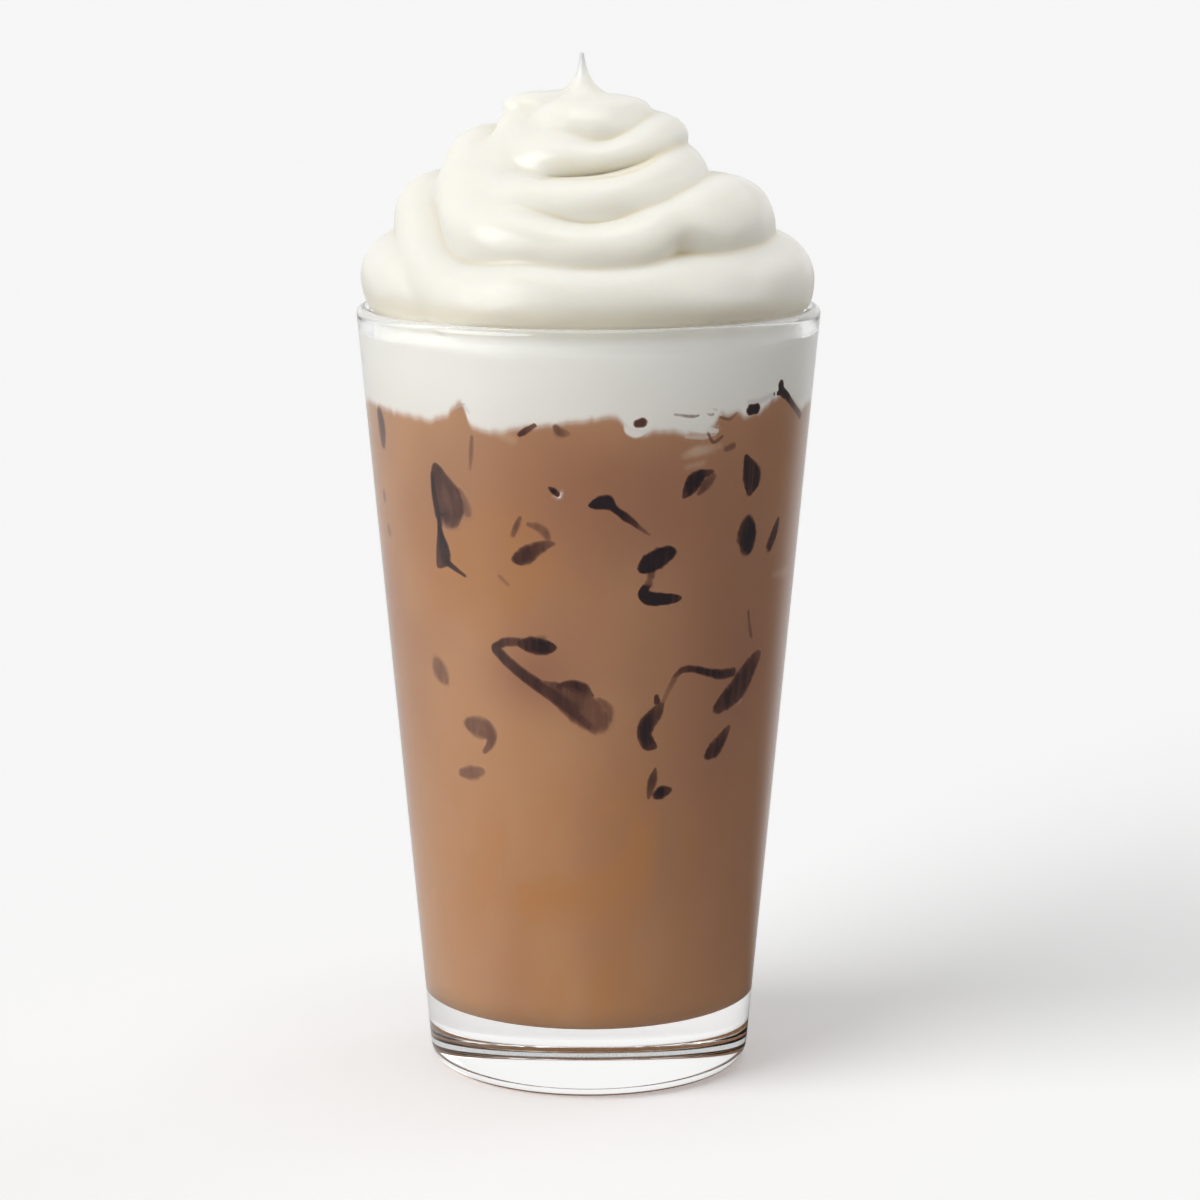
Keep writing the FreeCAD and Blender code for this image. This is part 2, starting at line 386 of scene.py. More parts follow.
@dataclass(frozen=True)
class WhippedCream:
    """Whipped cream: warm white, with painted shade that makes its folds and its foot on the rim darker
    and yellower, and a little wet.
    """

    white: Colour = (0.800, 0.785, 0.715)
    fold_shade: Colour = (0.770, 0.720, 0.570)
    smooth: Colour = (0.955, 0.945, 0.890)
    stained: Colour = (0.600, 0.330, 0.185)

    def material(self) -> bpy.types.Material:
        """Cream material with painted shade in its folds from the piece's own attribute, and fine bubbles.

        Returns:
            The material.
        """
        shader = Shader("whipped_cream_finish")
        mottled = shader.grade(shader.noise((90, 90, 90), 3.0, 0.5), 0.35, 0.7)
        white = shader.blend(mottled, self.white, tuple(0.985 * c for c in self.white))
        # Painted shade: the folds and the foot on the rim turn darker and yellower.
        colour = shader.blend(shader.attribute("fold_shade"), white, self.fold_shade)
        colour = shader.blend(shader.attribute("pressed"), colour, self.smooth)
        colour = shader.blend(shader.attribute("stain"), colour, self.stained)
        shader.link(colour, shader.principled.inputs["Base Color"])
        wet = shader.grade(shader.noise((150, 150, 300), 2.0, 0.5), 0.40, 0.65, 0.28, 0.46)
        shader.link(wet, shader.principled.inputs["Roughness"])
        shader.set(Specular_IOR_Level=0.5, Subsurface_Scale=0.008,
                   Subsurface_Radius=(1.0, 0.85, 0.65))
        soft = shader.grade(shader.attribute("pressed"), 0.0, 1.0, 0.8, 0.0)
        shader.link(soft, shader.principled.inputs["Subsurface Weight"])
        shader.bump(shader.noise((700, 700, 700), 4.0, 0.6), 0.00012, 0.35)
        return shader.material


# Towards the back left, where the studio is pale in mirrors too.
PALE_SIDE = (-0.67, 0.74, 0.0)


@dataclass(frozen=True)
class PaleFloor:
    """Plain matt studio floor: pale where it is seen, with little light thrown back up."""

    seen: Colour = (0.90, 0.90, 0.90)
    near: Colour = (0.12, 0.12, 0.12)
    bounce: Colour = (0.20, 0.19, 0.18)
    glow: float = 0.28

    def material(self) -> bpy.types.Material:
        """Floor material: pale where it is seen.

        In mirrors it is dark towards the camera and the right, like a dark card laid there.

        Returns:
            The material.
        """
        shader = Shader("pale_floor")
        path = shader.node("ShaderNodeLightPath")
        outwards = shader.node("ShaderNodeVectorMath", operation="NORMALIZE")
        shader.link(shader.place((1, 1, 0)), outwards.inputs[0])
        share = shader.node("ShaderNodeVectorMath", operation="DOT_PRODUCT")
        shader.link(outwards.outputs[0], share.inputs[0])
        share.inputs[1].default_value = PALE_SIDE
        mirrored = shader.blend(shader.grade(share.outputs["Value"], -0.30, 0.30), self.near, self.seen)
        colour = shader.blend(path.outputs["Is Glossy Ray"], self.bounce, mirrored)
        colour = shader.blend(path.outputs["Is Transmission Ray"], colour, self.seen)
        colour = shader.blend(path.outputs["Is Camera Ray"], colour, self.seen)
        shader.link(colour, shader.principled.inputs["Base Color"])
        either = shader.node("ShaderNodeMath", operation="MAXIMUM")
        shader.link(path.outputs["Is Camera Ray"], either.inputs[0])
        shader.link(path.outputs["Is Transmission Ray"], either.inputs[1])
        shader.link(either.outputs[0], shader.principled.inputs["Emission Strength"])
        shader.set(Roughness=0.9, Specular_IOR_Level=0.0, Emission_Color=(*[self.glow] * 3, 1.0))
        return shader.material


# --- Glass -------------------------------------------------------------------------------


@dataclass(frozen=True)
class GlassShape:
    """Sizes of the tapered glass, which also place everything that it holds."""

    height: float
    rim_radius: float
    base_radius: float = 0.0309
    rim_wall: float = 0.0028
    foot_wall: float = 0.0033
    floor: float = 0.0132
    floor_corner: float = 0.0060
    heel: float = 0.0040
    bearing: float = 0.0045
    bearing_round: float = 0.0008
    punt: float = 0.0013

    @property
    def lip(self) -> float:
        """Radius of the round rim."""
        return self.rim_wall / 2

    @property
    def lip_z(self) -> float:
        """Height of the middle of the round rim."""
        return self.height - self.lip

    def outer(self, z: np.ndarray) -> np.ndarray:
        """Outside radius of the slanted wall at height z."""
        return self.base_radius + (self.rim_radius - self.base_radius) * z / self.lip_z

    def inner(self, z: np.ndarray) -> np.ndarray:
        """Inside radius of the slanted wall at height z."""
        share = (z - self.floor) / (self.lip_z - self.floor)
        return self.outer(z) - self.foot_wall - (self.rim_wall - self.foot_wall) * share


def corner_arc(before: np.ndarray, corner: np.ndarray, after: np.ndarray, radius: float,
               steps: int) -> np.ndarray:
    """Points of the arc that rounds a profile's corner.

    The arc's middle lies on the bisector, radius over the sine of the half angle away, and
    the arc runs from the foot of its perpendicular on one side to that on the other.

    Args:
        before: Point before the corner, as (radius, height).
        corner: The corner.
        after: Point after it.
        radius: Radius of the rounding.
        steps: How many spans.

    Returns:
        Points, shaped (steps + 1, 2).
    """
    back = (before - corner) / np.linalg.norm(before - corner)
    on = (after - corner) / np.linalg.norm(after - corner)
    half = math.acos(float(np.clip(back @ on, -1, 1))) / 2
    bisector = (back + on) / np.linalg.norm(back + on)
    middle = corner + bisector * radius / math.sin(half)
    start = corner + back * radius / math.tan(half) - middle
    end = corner + on * radius / math.tan(half) - middle
    sweep = math.acos(float(np.clip(start @ end / radius ** 2, -1, 1)))
    share = np.linspace(0, 1, steps + 1)[:, None]
    return middle + (np.sin((1 - share) * sweep) * start + np.sin(share * sweep) * end) / math.sin(sweep)


def straight(start: np.ndarray, end: np.ndarray, steps: int) -> np.ndarray:
    """Points between two profile points, without the two ends."""
    share = np.linspace(0, 1, steps + 1)[1:-1, None]
    return start + (end - start) * share


@dataclass
class Glass:
    """The glass: a heavy base with a punt, a slanted wall and a full round rim."""

    shape: GlassShape
    finish: ClearGlass = ClearGlass()
    columns: int = 224

    def profile(self) -> np.ndarray:
        """Outline from the middle of the punt, over the rim, to the middle of the floor.

        Returns:
            Rows of radius and height in metres.
        """
        s = self.shape
        foot = np.array([s.base_radius, 0.0])
        rim_out = np.array([s.rim_radius, s.lip_z])
        rim_in = np.array([s.rim_radius - s.rim_wall, s.lip_z])
        centre = np.array([0.0, 0.0])
        heel = corner_arc(centre, foot, rim_out, s.heel, 18)
        ring_inner = np.array([heel[0, 0] - s.bearing, 0.0])
        punt_share = np.linspace(0.02, 0.93, 24)
        punt_r = ring_inner[0] * punt_share
        punt = np.stack([punt_r, s.punt * (1 - punt_share ** 2)], -1)
        ring = corner_arc(punt[-1], ring_inner, heel[0], s.bearing_round, 6)
        angle = np.linspace(0, math.pi, 31)
        lip_middle = np.array([s.rim_radius - s.lip, s.lip_z])
        lip = lip_middle + s.lip * np.stack([np.cos(angle), np.sin(angle)], -1)
        floor_edge = np.array([s.inner(s.floor), s.floor])
        floor_middle = np.array([0.0, s.floor])
        corner = corner_arc(rim_in, floor_edge, floor_middle, s.floor_corner, 20)
        floor_end = np.array([0.0005, s.floor])
        parts = [punt, ring, straight(ring[-1], heel[0], 6), heel, straight(heel[-1], lip[0], 40),
                 lip, straight(lip[-1], corner[0], 40), corner,
                 straight(corner[-1], floor_end, 16), floor_end[None, :]]
        return np.vstack(parts)

    def build(self) -> bpy.types.Object:
        """Turns the outline about the axis: x = r cos a, y = r sin a, z = height.

        Returns:
            The glass as one closed piece.
        """
        outline = self.profile()
        angle = around(self.columns)
        radius = outline[:, 0][:, None]
        height = np.repeat(outline[:, 1][:, None], self.columns, 1)
        rings = np.stack([radius * np.cos(angle), radius * np.sin(angle), height], -1)
        piece = shell_object("pint_glass", rings, Vector((0, 0, self.shape.punt)),
                             Vector((0, 0, self.shape.floor)))
        piece.data.materials.append(self.finish.material())
        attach(piece, "root")
        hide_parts("glass")
        return piece


# --- Marks on the wall of the drink ------------------------------------------------------


class MarkKind(Enum):
    """What shows at a mark on the wall."""

    # Its dark colour is painted shade: the depth of the drink seen through the clear ice.
    ICE = "clear ice against the glass, with dark coffee behind it"
    PALE = "milk that has not mixed in"
    WISP = "a wisp of cream"
    # Its lilac grey is painted shade in a thin crease of the pressed cream.
    HOLLOW_SHADE = "a thin hollow in the pressed cream"


@dataclass(frozen=True)
class Mark:
    """One mark on the wall, drawn along a spine.

    Each point of the spine is degrees right of the front, millimetres up, half width in
    millimetres and strength from 0 to 1. Soft is the share of the half width that fades.
    """

    kind: MarkKind
    soft: float
    spine: tuple[tuple[float, float, float, float], ...]

    @property
    def middle(self) -> tuple[float, float]:
        """Degrees and millimetres up, averaged over the spine."""
        degrees, height, _, _ = np.array(self.spine).mean(axis=0)
        return float(degrees), float(height)

    def points(self, glass: "GlassShape", steps: int) -> np.ndarray:
        """The spine as a smooth line on the unrolled wall.

        Catmull-Rom: each span is the cubic whose end slopes are half the chord between its
        neighbours.

        Args:
            glass: The glass, whose inside radius turns degrees into millimetres.
            steps: How many points.

        Returns:
            Rows of side and up in millimetres, half width and strength.
        """
        degrees, height = self.middle
        knots = np.array(self.spine)
        knots[:, 0] = np.radians(knots[:, 0] - degrees) * glass.inner(height * MM) / MM
        ends = [2 * knots[0] - knots[1]], [2 * knots[-1] - knots[-2]]
        padded = np.vstack([ends[0], knots, ends[1]])
        run = np.linspace(0, 1, steps) * (len(knots) - 1)
        span = np.minimum(run.astype(int), len(knots) - 2)
        s = (run - span)[:, None]
        p, q, r, u = (padded[span + k] for k in range(4))
        line = q + 0.5 * s * (r - p + s * (2 * p - 5 * q + 4 * r - u + s * (3 * (q - r) + u - p)))
        line[:, 2:] = np.maximum(line[:, 2:], 0.05)
        return line


@dataclass(frozen=True)
class SeenMark:
    """One mark as it is seen from the front, before the glass's bending is undone.

    Each knot is millimetres right of the axis, millimetres above the table, half width in
    millimetres and strength from 0 to 1. Its place is where the line of sight crosses the
    upright plane through the glass's axis. Soft is as in Mark.
    """

    kind: MarkKind
    soft: float
    knots: tuple[tuple[float, float, float, float], ...]


@dataclass(frozen=True)
class Sight:
    """The line of sight from the front, carried through the glass to the drink.

    Lengths are in millimetres. The eye stands straight in front of the axis, as far away and
    as high as the camera. Index is the glass's. Thinnest is the least half width of a mark.
    """

    glass: GlassShape
    index: float = 1.5
    distance: float = EYE_DISTANCE / MM
    height: float = EYE_HEIGHT / MM
    thinnest: float = 0.15

    def meet(self, start: np.ndarray, ray: np.ndarray,
             radius: Callable[[float], float]) -> np.ndarray:
        """First place where a ray meets a cone round the axis.

        With k the cone's growth and R its radius at the table, start + t ray is on it where
        x² + y² = (R + k z)², which is a t² + 2 b t + c = 0. The nearer root is taken.

        Args:
            start: Where the ray starts.
            ray: Its direction.
            radius: The cone's radius in metres at a height in metres.

        Returns:
            The place, or three not-a-numbers where the ray misses.
        """
        grow = radius(1.0) - radius(0.0)
        level = radius(0.0) / MM + grow * start[2]
        a = ray[0] ** 2 + ray[1] ** 2 - (grow * ray[2]) ** 2
        b = start[0] * ray[0] + start[1] * ray[1] - level * grow * ray[2]
        c = start[0] ** 2 + start[1] ** 2 - level ** 2
        inside = b ** 2 - a * c
        if inside < 0:
            return np.full(3, np.nan)
        return start + (-b - math.sqrt(inside)) / a * ray

    def on_wall(self, across: float, up: float) -> tuple[float, float]:
        """Where the line of sight through a seen place meets the drink.

        The ray meets the outside of the glass, bends by Snell's law and goes on to the
        inside wall.

        Args:
            across: Millimetres right of the axis, as seen.
            up: Millimetres above the table, as seen.

        Returns:
            Degrees right of the front and millimetres up, not-a-number for a miss.
        """
        eye = np.array([0.0, -self.distance, self.height])
        ray = np.array([across, 0.0, up]) - eye
        ray /= np.linalg.norm(ray)
        hit = self.meet(eye, ray, self.glass.outer)
        grow = self.glass.outer(1.0) - self.glass.outer(0.0)
        normal = np.array([hit[0], hit[1], -grow * math.hypot(hit[0], hit[1])])
        normal /= np.linalg.norm(normal)
        facing = -ray @ normal
        ratio = 1 / self.index
        depth = math.sqrt(1 - ratio ** 2 * (1 - facing ** 2))
        bent = ratio * ray + (ratio * facing - depth) * normal
        x, y, z = self.meet(hit, bent, self.glass.inner)
        return math.degrees(math.atan2(y, x)) + 90, z

    def mark(self, seen: SeenMark) -> Mark:
        """A seen mark in degrees and millimetres on the wall.

        The places half a width to each side of the spine are carried to the wall too, and
        half their distance is the half width there. Where one misses, it stays as seen.

        Args:
            seen: The mark as seen from the front.

        Returns:
            The mark on the wall.
        """
        knots = np.array(seen.knots)
        run = np.gradient(knots[:, :2], axis=0)
        run /= np.linalg.norm(run, axis=1)[:, None]
        spine = []
        for (across, up, half, strength), (right, rise) in zip(knots, run):
            degrees, height = self.on_wall(across, up)
            one = self.on_wall(across - rise * half, up + right * half)
            other = self.on_wall(across + rise * half, up - right * half)
            turn = math.radians(one[0] - other[0]) * self.glass.inner(height * MM) / MM
            wide = math.hypot(turn, one[1] - other[1]) / 2
            wide = max(wide, self.thinnest) if math.isfinite(wide) else half
            spine.append((degrees, height, wide, strength))
        return Mark(seen.kind, seen.soft, tuple(spine))


I, P, W, S = MarkKind.ICE, MarkKind.PALE, MarkKind.WISP, MarkKind.HOLLOW_SHADE
FRONT_MARKS = (
    # Left: a streak, the window with its neck, tail and toe, and specks.
    SeenMark(I, .7, ((-40.2, 128, .45, .62), (-39.8, 125.2, .58, .6), (-39.6, 122.4, .39, .5))),
    SeenMark(I, .35, ((-29.3, 117.2, .84, .72), (-28.4, 114.1, 1.74, .66), (-27.5, 111, 2.3, .6),
                      (-26.8, 108.7, 2.1, .66))),
    SeenMark(I, .6, ((-30, 116.3, .39, .85), (-29.7, 112.5, .52, .86), (-29.1, 108.2, .45, .85))),
    SeenMark(I, .4, ((-27.7, 115.1, .84, .74), (-26, 112.5, 1.1, .72), (-25.3, 109.6, 1.16, .7),
                     (-25.5, 108.4, .9, .72))),
    SeenMark(I, .5, ((-28.4, 108.3, .52, .8), (-26.5, 108, .58, .8), (-24.7, 108.3, .45, .6))),
    SeenMark(I, 1, ((-25, 113.1, .52, .35), (-23.9, 111, .71, .38), (-23.3, 108.7, .77, .38))),
    SeenMark(I, .3, ((-28.9, 107.8, .32, .85), (-28.7, 105.3, .45, .88), (-28.3, 102.4, .97, .86),
                     (-28.1, 100.2, 1.3, .8), (-28.8, 98.6, .65, .75))),
    SeenMark(I, .6, ((-28.2, 99.9, .65, .86), (-26.4, 98.2, .45, .8), (-23.9, 96.3, .26, .6))),
    SeenMark(I, 1, ((-22.4, 123.5, .32, .35), (-22.6, 120, .45, .33), (-22.8, 117.2, .26, .25))),
    SeenMark(I, 1, ((-39.5, 112.4, .26, .35), (-39.4, 111.6, .26, .35))),
    SeenMark(I, 1, ((-38.7, 105.7, .26, .35), (-38.5, 104.9, .26, .35))),
    # Upper middle: a fleck, a smudge, a dot and the soft arch over its dark patch.
    SeenMark(I, .6, ((-13.2, 124, .45, .75), (-12, 124.7, .58, .7), (-10, 126, .39, .45))),
    SeenMark(I, .9, ((-6.2, 125.4, .58, .45), (-5.4, 124.4, .84, .5), (-4, 124.2, .52, .35))),
    SeenMark(I, .5, ((-7.5, 113.6, .26, .6), (-6.7, 113, .52, .92), (-5.9, 112.3, .45, .8))),
    SeenMark(I, .9, ((-13.2, 107.7, .39, .42), (-13.9, 106, .58, .45), (-14.5, 104.4, .52, .35))),
    SeenMark(I, .9, ((-11.5, 106.4, .45, .4), (-9.5, 105.8, .78, .42), (-8.2, 104.5, .78, .45),
                     (-7.6, 103.3, .45, .35))),
    SeenMark(I, .45, ((-13.7, 99.6, 1.04, .74), (-12.3, 100.2, 1.62, .78), (-10.2, 101.5, 1.3, .74),
                      (-8.2, 102.4, .84, .6), (-6.7, 102.6, .39, .4))),
    SeenMark(I, 1, ((-17.2, 96.2, .39, .25), (-15.6, 94.6, .39, .25))),
    # Upper right: the dumbbell, the slanting piece, the blade, the oval and a streak.
    SeenMark(I, .3, ((.6, 110.2, .52, .9), (2, 110.5, 1.1, 1), (3.5, 110.8, 1.3, 1),
                     (4.5, 110.1, .9, 1))),
    SeenMark(I, .35, ((3.9, 110.4, .84, 1), (5.6, 109.1, .65, 1), (7.3, 107.8, .78, .98),
                      (8.8, 106.7, .58, .9), (10.5, 105.3, .39, .5), (12.6, 103.9, .2, .2))),
    SeenMark(I, .35, ((18.7, 112.1, .52, .8), (19.6, 113.4, 1.1, .95), (20.6, 115, 1.36, .97),
                      (22.1, 116.2, .84, .85), (23.9, 116.7, .45, .6))),
    SeenMark(I, .8, ((21.4, 112.5, .39, .5), (22.8, 114.2, .84, .55), (24.1, 115.8, .58, .45))),
    SeenMark(I, .3, ((30.5, 119.5, .45, .85), (31.1, 117.7, 1.1, .87), (31.7, 115.6, 1.55, .86),
                     (31.4, 113.7, .97, .84), (31.2, 112.7, .45, .8))),
    SeenMark(I, .3, ((30.8, 106.4, 1.1, .93), (30.8, 104.3, 1.62, .94), (30.8, 102.4, 1.23, .92))),
    SeenMark(I, .5, ((36.7, 107.3, .26, .6), (36, 104.8, .52, .78), (35.1, 102.3, .58, .8))),
    # Right of the middle: the bean over its foot.
    SeenMark(I, .22, ((10.9, 98, 1.16, 1), (12.2, 98.9, 1.75, 1), (14.3, 100.1, 1.68, 1),
                      (15.8, 100.9, 1.16, 1))),
    SeenMark(I, 1, ((12.2, 96.4, .71, .5), (11.9, 95.5, .58, .42), (11.7, 94.6, .78, .5))),
    SeenMark(I, .25, ((11.1, 93.9, .71, .97), (10.8, 92.6, 1.1, 1), (12.1, 91.8, 1.3, 1),
                      (14.4, 91.7, 1.1, 1), (16.6, 91.8, .84, .97), (17.7, 91.9, .45, .8))),
    # Right, at the cream: curls, dots, the wedge with its arm, and a hair lower down.
    SeenMark(I, .8, ((23.1, 124.2, .26, .45), (24.2, 122.5, .32, .5), (25.9, 123.6, .26, .5))),
    SeenMark(I, .8, ((26.7, 121.2, .52, .5), (28, 121.8, .58, .5))),
    SeenMark(I, .35, ((31.3, 128.8, .9, .98), (32.4, 129, .84, .95))),
    SeenMark(I, .35, ((37.1, 133.7, .44, 1), (37.3, 132.4, .51, 1), (38.3, 131.4, .45, .95),
                      (39.3, 129.9, .32, .75), (40.8, 127.7, .26, .5))),
    SeenMark(I, .5, ((35.8, 131.9, .26, .7), (36.9, 132.1, .45, .95))),
    SeenMark(I, .9, ((31.1, 89.3, .2, .4), (31.3, 86.6, .26, .35), (31.7, 84.4, .26, .45))),
    # Low left: a blob, the comma and an oval.
    SeenMark(I, .75, ((-29.4, 79, .85, .36), (-28.8, 77.4, 1.24, .4), (-27.9, 75.7, .72, .36))),
    SeenMark(I, .5, ((-23.4, 67, .91, .42), (-21.9, 66.4, 1.76, .46), (-20.2, 65.8, 1.7, .46),
                     (-18.9, 64.4, .91, .48), (-19.3, 62.6, .72, .46), (-20.3, 61.4, .52, .42))),
    SeenMark(I, .6, ((-24.7, 57.1, .85, .36), (-22.8, 57.1, 1.37, .4), (-20.9, 57.4, .85, .37))),
    # Low middle: the long arm, with its fan at the lower end and an oval at the upper.
    SeenMark(I, .35, ((-8.2, 74.7, .78, .58), (-4.8, 72.5, 2.2, .6), (-1.3, 70, 3, .56),
                      (1.6, 67.6, 2.6, .5))),
    SeenMark(I, .5, ((-6.3, 74.2, .39, .7), (-3.6, 74.8, .78, .8), (-1, 74, .98, .78),
                     (.6, 72.5, .52, .6))),
    SeenMark(I, .9, ((2.1, 71.7, .52, .42), (3.9, 70, .91, .42), (3.9, 67.7, .91, .4))),
    SeenMark(I, .4, ((-18, 81.8, .78, .74), (-15.8, 79.5, .91, .78), (-13.2, 77.2, .98, .8),
                     (-10, 74.8, 1.1, .82), (-6.7, 72.4, 1.1, .78), (-3, 69.4, 1.04, .74),
                     (.2, 66.6, .85, .7))),
    SeenMark(I, .45, ((-18.2, 82.3, .65, .78), (-16, 83.2, .85, .7), (-13.4, 83.2, .78, .66))),
    SeenMark(I, .35, ((-12.8, 82.8, .91, .86), (-10.8, 82.6, 1.5, .88), (-8.7, 82.2, 1.43, .86),
                      (-6.9, 82.1, .72, .8))),
    SeenMark(I, 1, ((-9.7, 83.9, .52, .3), (-8.6, 84, .52, .3))),
    # Low right: the broken loop and the corner under it.
    SeenMark(I, .4, ((13.3, 72.4, .39, .85), (13.4, 71.3, .59, .8))),
    SeenMark(I, .35, ((14.2, 70.6, .52, .6), (13.1, 68.9, 1.17, .78), (11.5, 66.8, 1.43, .88),
                      (11, 64.6, 1.3, .9), (11.8, 62.9, 1.3, .88), (12.9, 62.4, .59, .7))),
    SeenMark(I, 1, ((14.6, 71.2, .39, .3), (15.5, 73.4, .46, .3), (16.8, 76, .52, .4))),
    SeenMark(I, .45, ((16.9, 76.4, .39, .5), (18.5, 77.7, .59, .75), (20.7, 77.8, .65, .86),
                      (23.2, 77.2, .72, .9), (25.8, 76.8, .91, .86), (28.1, 77.2, .78, .75))),
    SeenMark(I, .35, ((32.9, 80.5, .59, .6), (31.9, 78.9, .98, .76), (30.3, 76, 1.43, .8),
                      (28.8, 73.6, 1.56, .82), (26.8, 71.6, 1.37, .84), (25.3, 70.1, .91, .8))),
    SeenMark(P, 1, ((28.5, 71.3, .52, .35), (29.3, 71.6, .52, .3))),
    SeenMark(I, .4, ((27.3, 66.1, .39, .6), (26.1, 64, .85, .76), (24.6, 61.8, 1.17, .82),
                     (23.4, 60.7, .72, .78))),
    SeenMark(I, .6, ((13.1, 57.9, .26, .45), (12.6, 55.8, .78, .62), (12.1, 53.6, .65, .55),
                     (11.8, 52.1, .33, .4))),
    SeenMark(I, .45, ((13.4, 52.6, .78, .9), (14.4, 53.2, 1.11, .97), (15.7, 53.6, .59, .85))),
    # Milk, the bubble and the wisps of cream.
    SeenMark(I, .5, ((9.5, 126.1, .71, .62), (10.5, 126.3, .84, .68))),
    SeenMark(W, .7, ((-6.5, 112.2, .19, .7), (-5.6, 111.8, .26, .95), (-5.2, 112.6, .19, .6))),
    SeenMark(P, 1, ((18.6, 119.8, .52, .25), (20.9, 120.7, .9, .45), (23.5, 121.2, .77, .35),
                    (25.4, 121.8, .45, .2))),
    SeenMark(P, 1, ((19, 117.6, .39, .2), (22.2, 118.4, .52, .25))),
    SeenMark(P, 1, ((-22.3, 128.1, .64, .2), (-19, 125.5, .9, .25), (-14.5, 122.9, .77, .2))),
    SeenMark(P, 1, ((35.9, 96.5, .39, .15), (38.5, 97.3, .58, .2))),
    SeenMark(W, .5, ((7.2, 126.2, .32, .75), (7.6, 124.9, .58, .95), (9, 124.1, .71, .97),
                     (10.6, 124.5, .58, .9), (11.4, 125.7, .32, .6))),
    SeenMark(W, .6, ((12.8, 126.8, .51, .85), (15.4, 127.3, .58, .9), (18.3, 127.3, .51, .85),
                     (21.4, 127.9, .32, .6))),
    SeenMark(W, .5, ((16.1, 125.9, .64, .85), (19.3, 125.5, .84, .95), (22.3, 125, .84, .95),
                     (24.8, 124.7, .45, .75))),
    SeenMark(W, .8, ((23.1, 128.6, .45, .7), (24.9, 128, .64, .8), (26.2, 128.6, .39, .6))),
    SeenMark(W, .9, ((19, 123.6, .39, .4), (22.2, 123.5, .45, .45), (24.5, 124.1, .32, .4))),
    # Painted shade in thin hollows of the pressed cream, and two lines of painted ice shade under it.
    SeenMark(S, .9, ((-25.3, 129.2, .19, .5), (-23.6, 130.2, .26, .7), (-21.5, 131.9, .22, .5),
                     (-19.5, 133.7, .19, .3))),
    SeenMark(S, 1, ((-24, 129.6, .32, .35), (-23, 128.3, .26, .3))),
    SeenMark(S, .9, ((5.2, 129.7, .19, .5), (6.7, 128.4, .26, .6), (7.9, 127.2, .19, .5))),
    SeenMark(S, .9, ((21, 131.1, .19, .4), (23.1, 130.1, .26, .55), (24.7, 128.8, .26, .5))),
    SeenMark(S, 1, ((7.8, 130.3, .19, .3), (9.3, 132.1, .19, .3))),
    SeenMark(S, 1, ((30.9, 130.3, .39, .35), (33.2, 130.6, .45, .4), (35.6, 131.8, .32, .4))),
    SeenMark(I, .9, ((16.8, 127.9, .26, .3), (20.2, 127.5, .32, .34), (24.1, 127.9, .26, .3))),
    SeenMark(I, .9, ((25.4, 127.4, .26, .36), (27.2, 127, .32, .4), (28.6, 128.1, .26, .3))),
)


def back_marks(front: tuple[Mark, ...]) -> tuple[Mark, ...]:
    """Marks for the side away from the front: the front's, turned round, shifted and tilted.

    Args:
        front: The marks seen from the front, on the wall.

    Returns:
        The marks of the other side, on the wall.
    """
    turned = []
    for index, mark in enumerate(front):
        degrees, height = mark.middle
        if mark.kind in (W, S) or abs(degrees) > 60:
            continue
        slope = 0.35 * math.sin(1.3 * index)
        shift = 5.0 * math.sin(2.3 * index) - 4
        spine = tuple((180 - 1.25 * degrees + (a - degrees), z + shift + slope * (a - degrees) * 0.6, w, s)
                      for a, z, w, s in mark.spine)
        turned.append(Mark(mark.kind, mark.soft, spine))
    return tuple(turned)


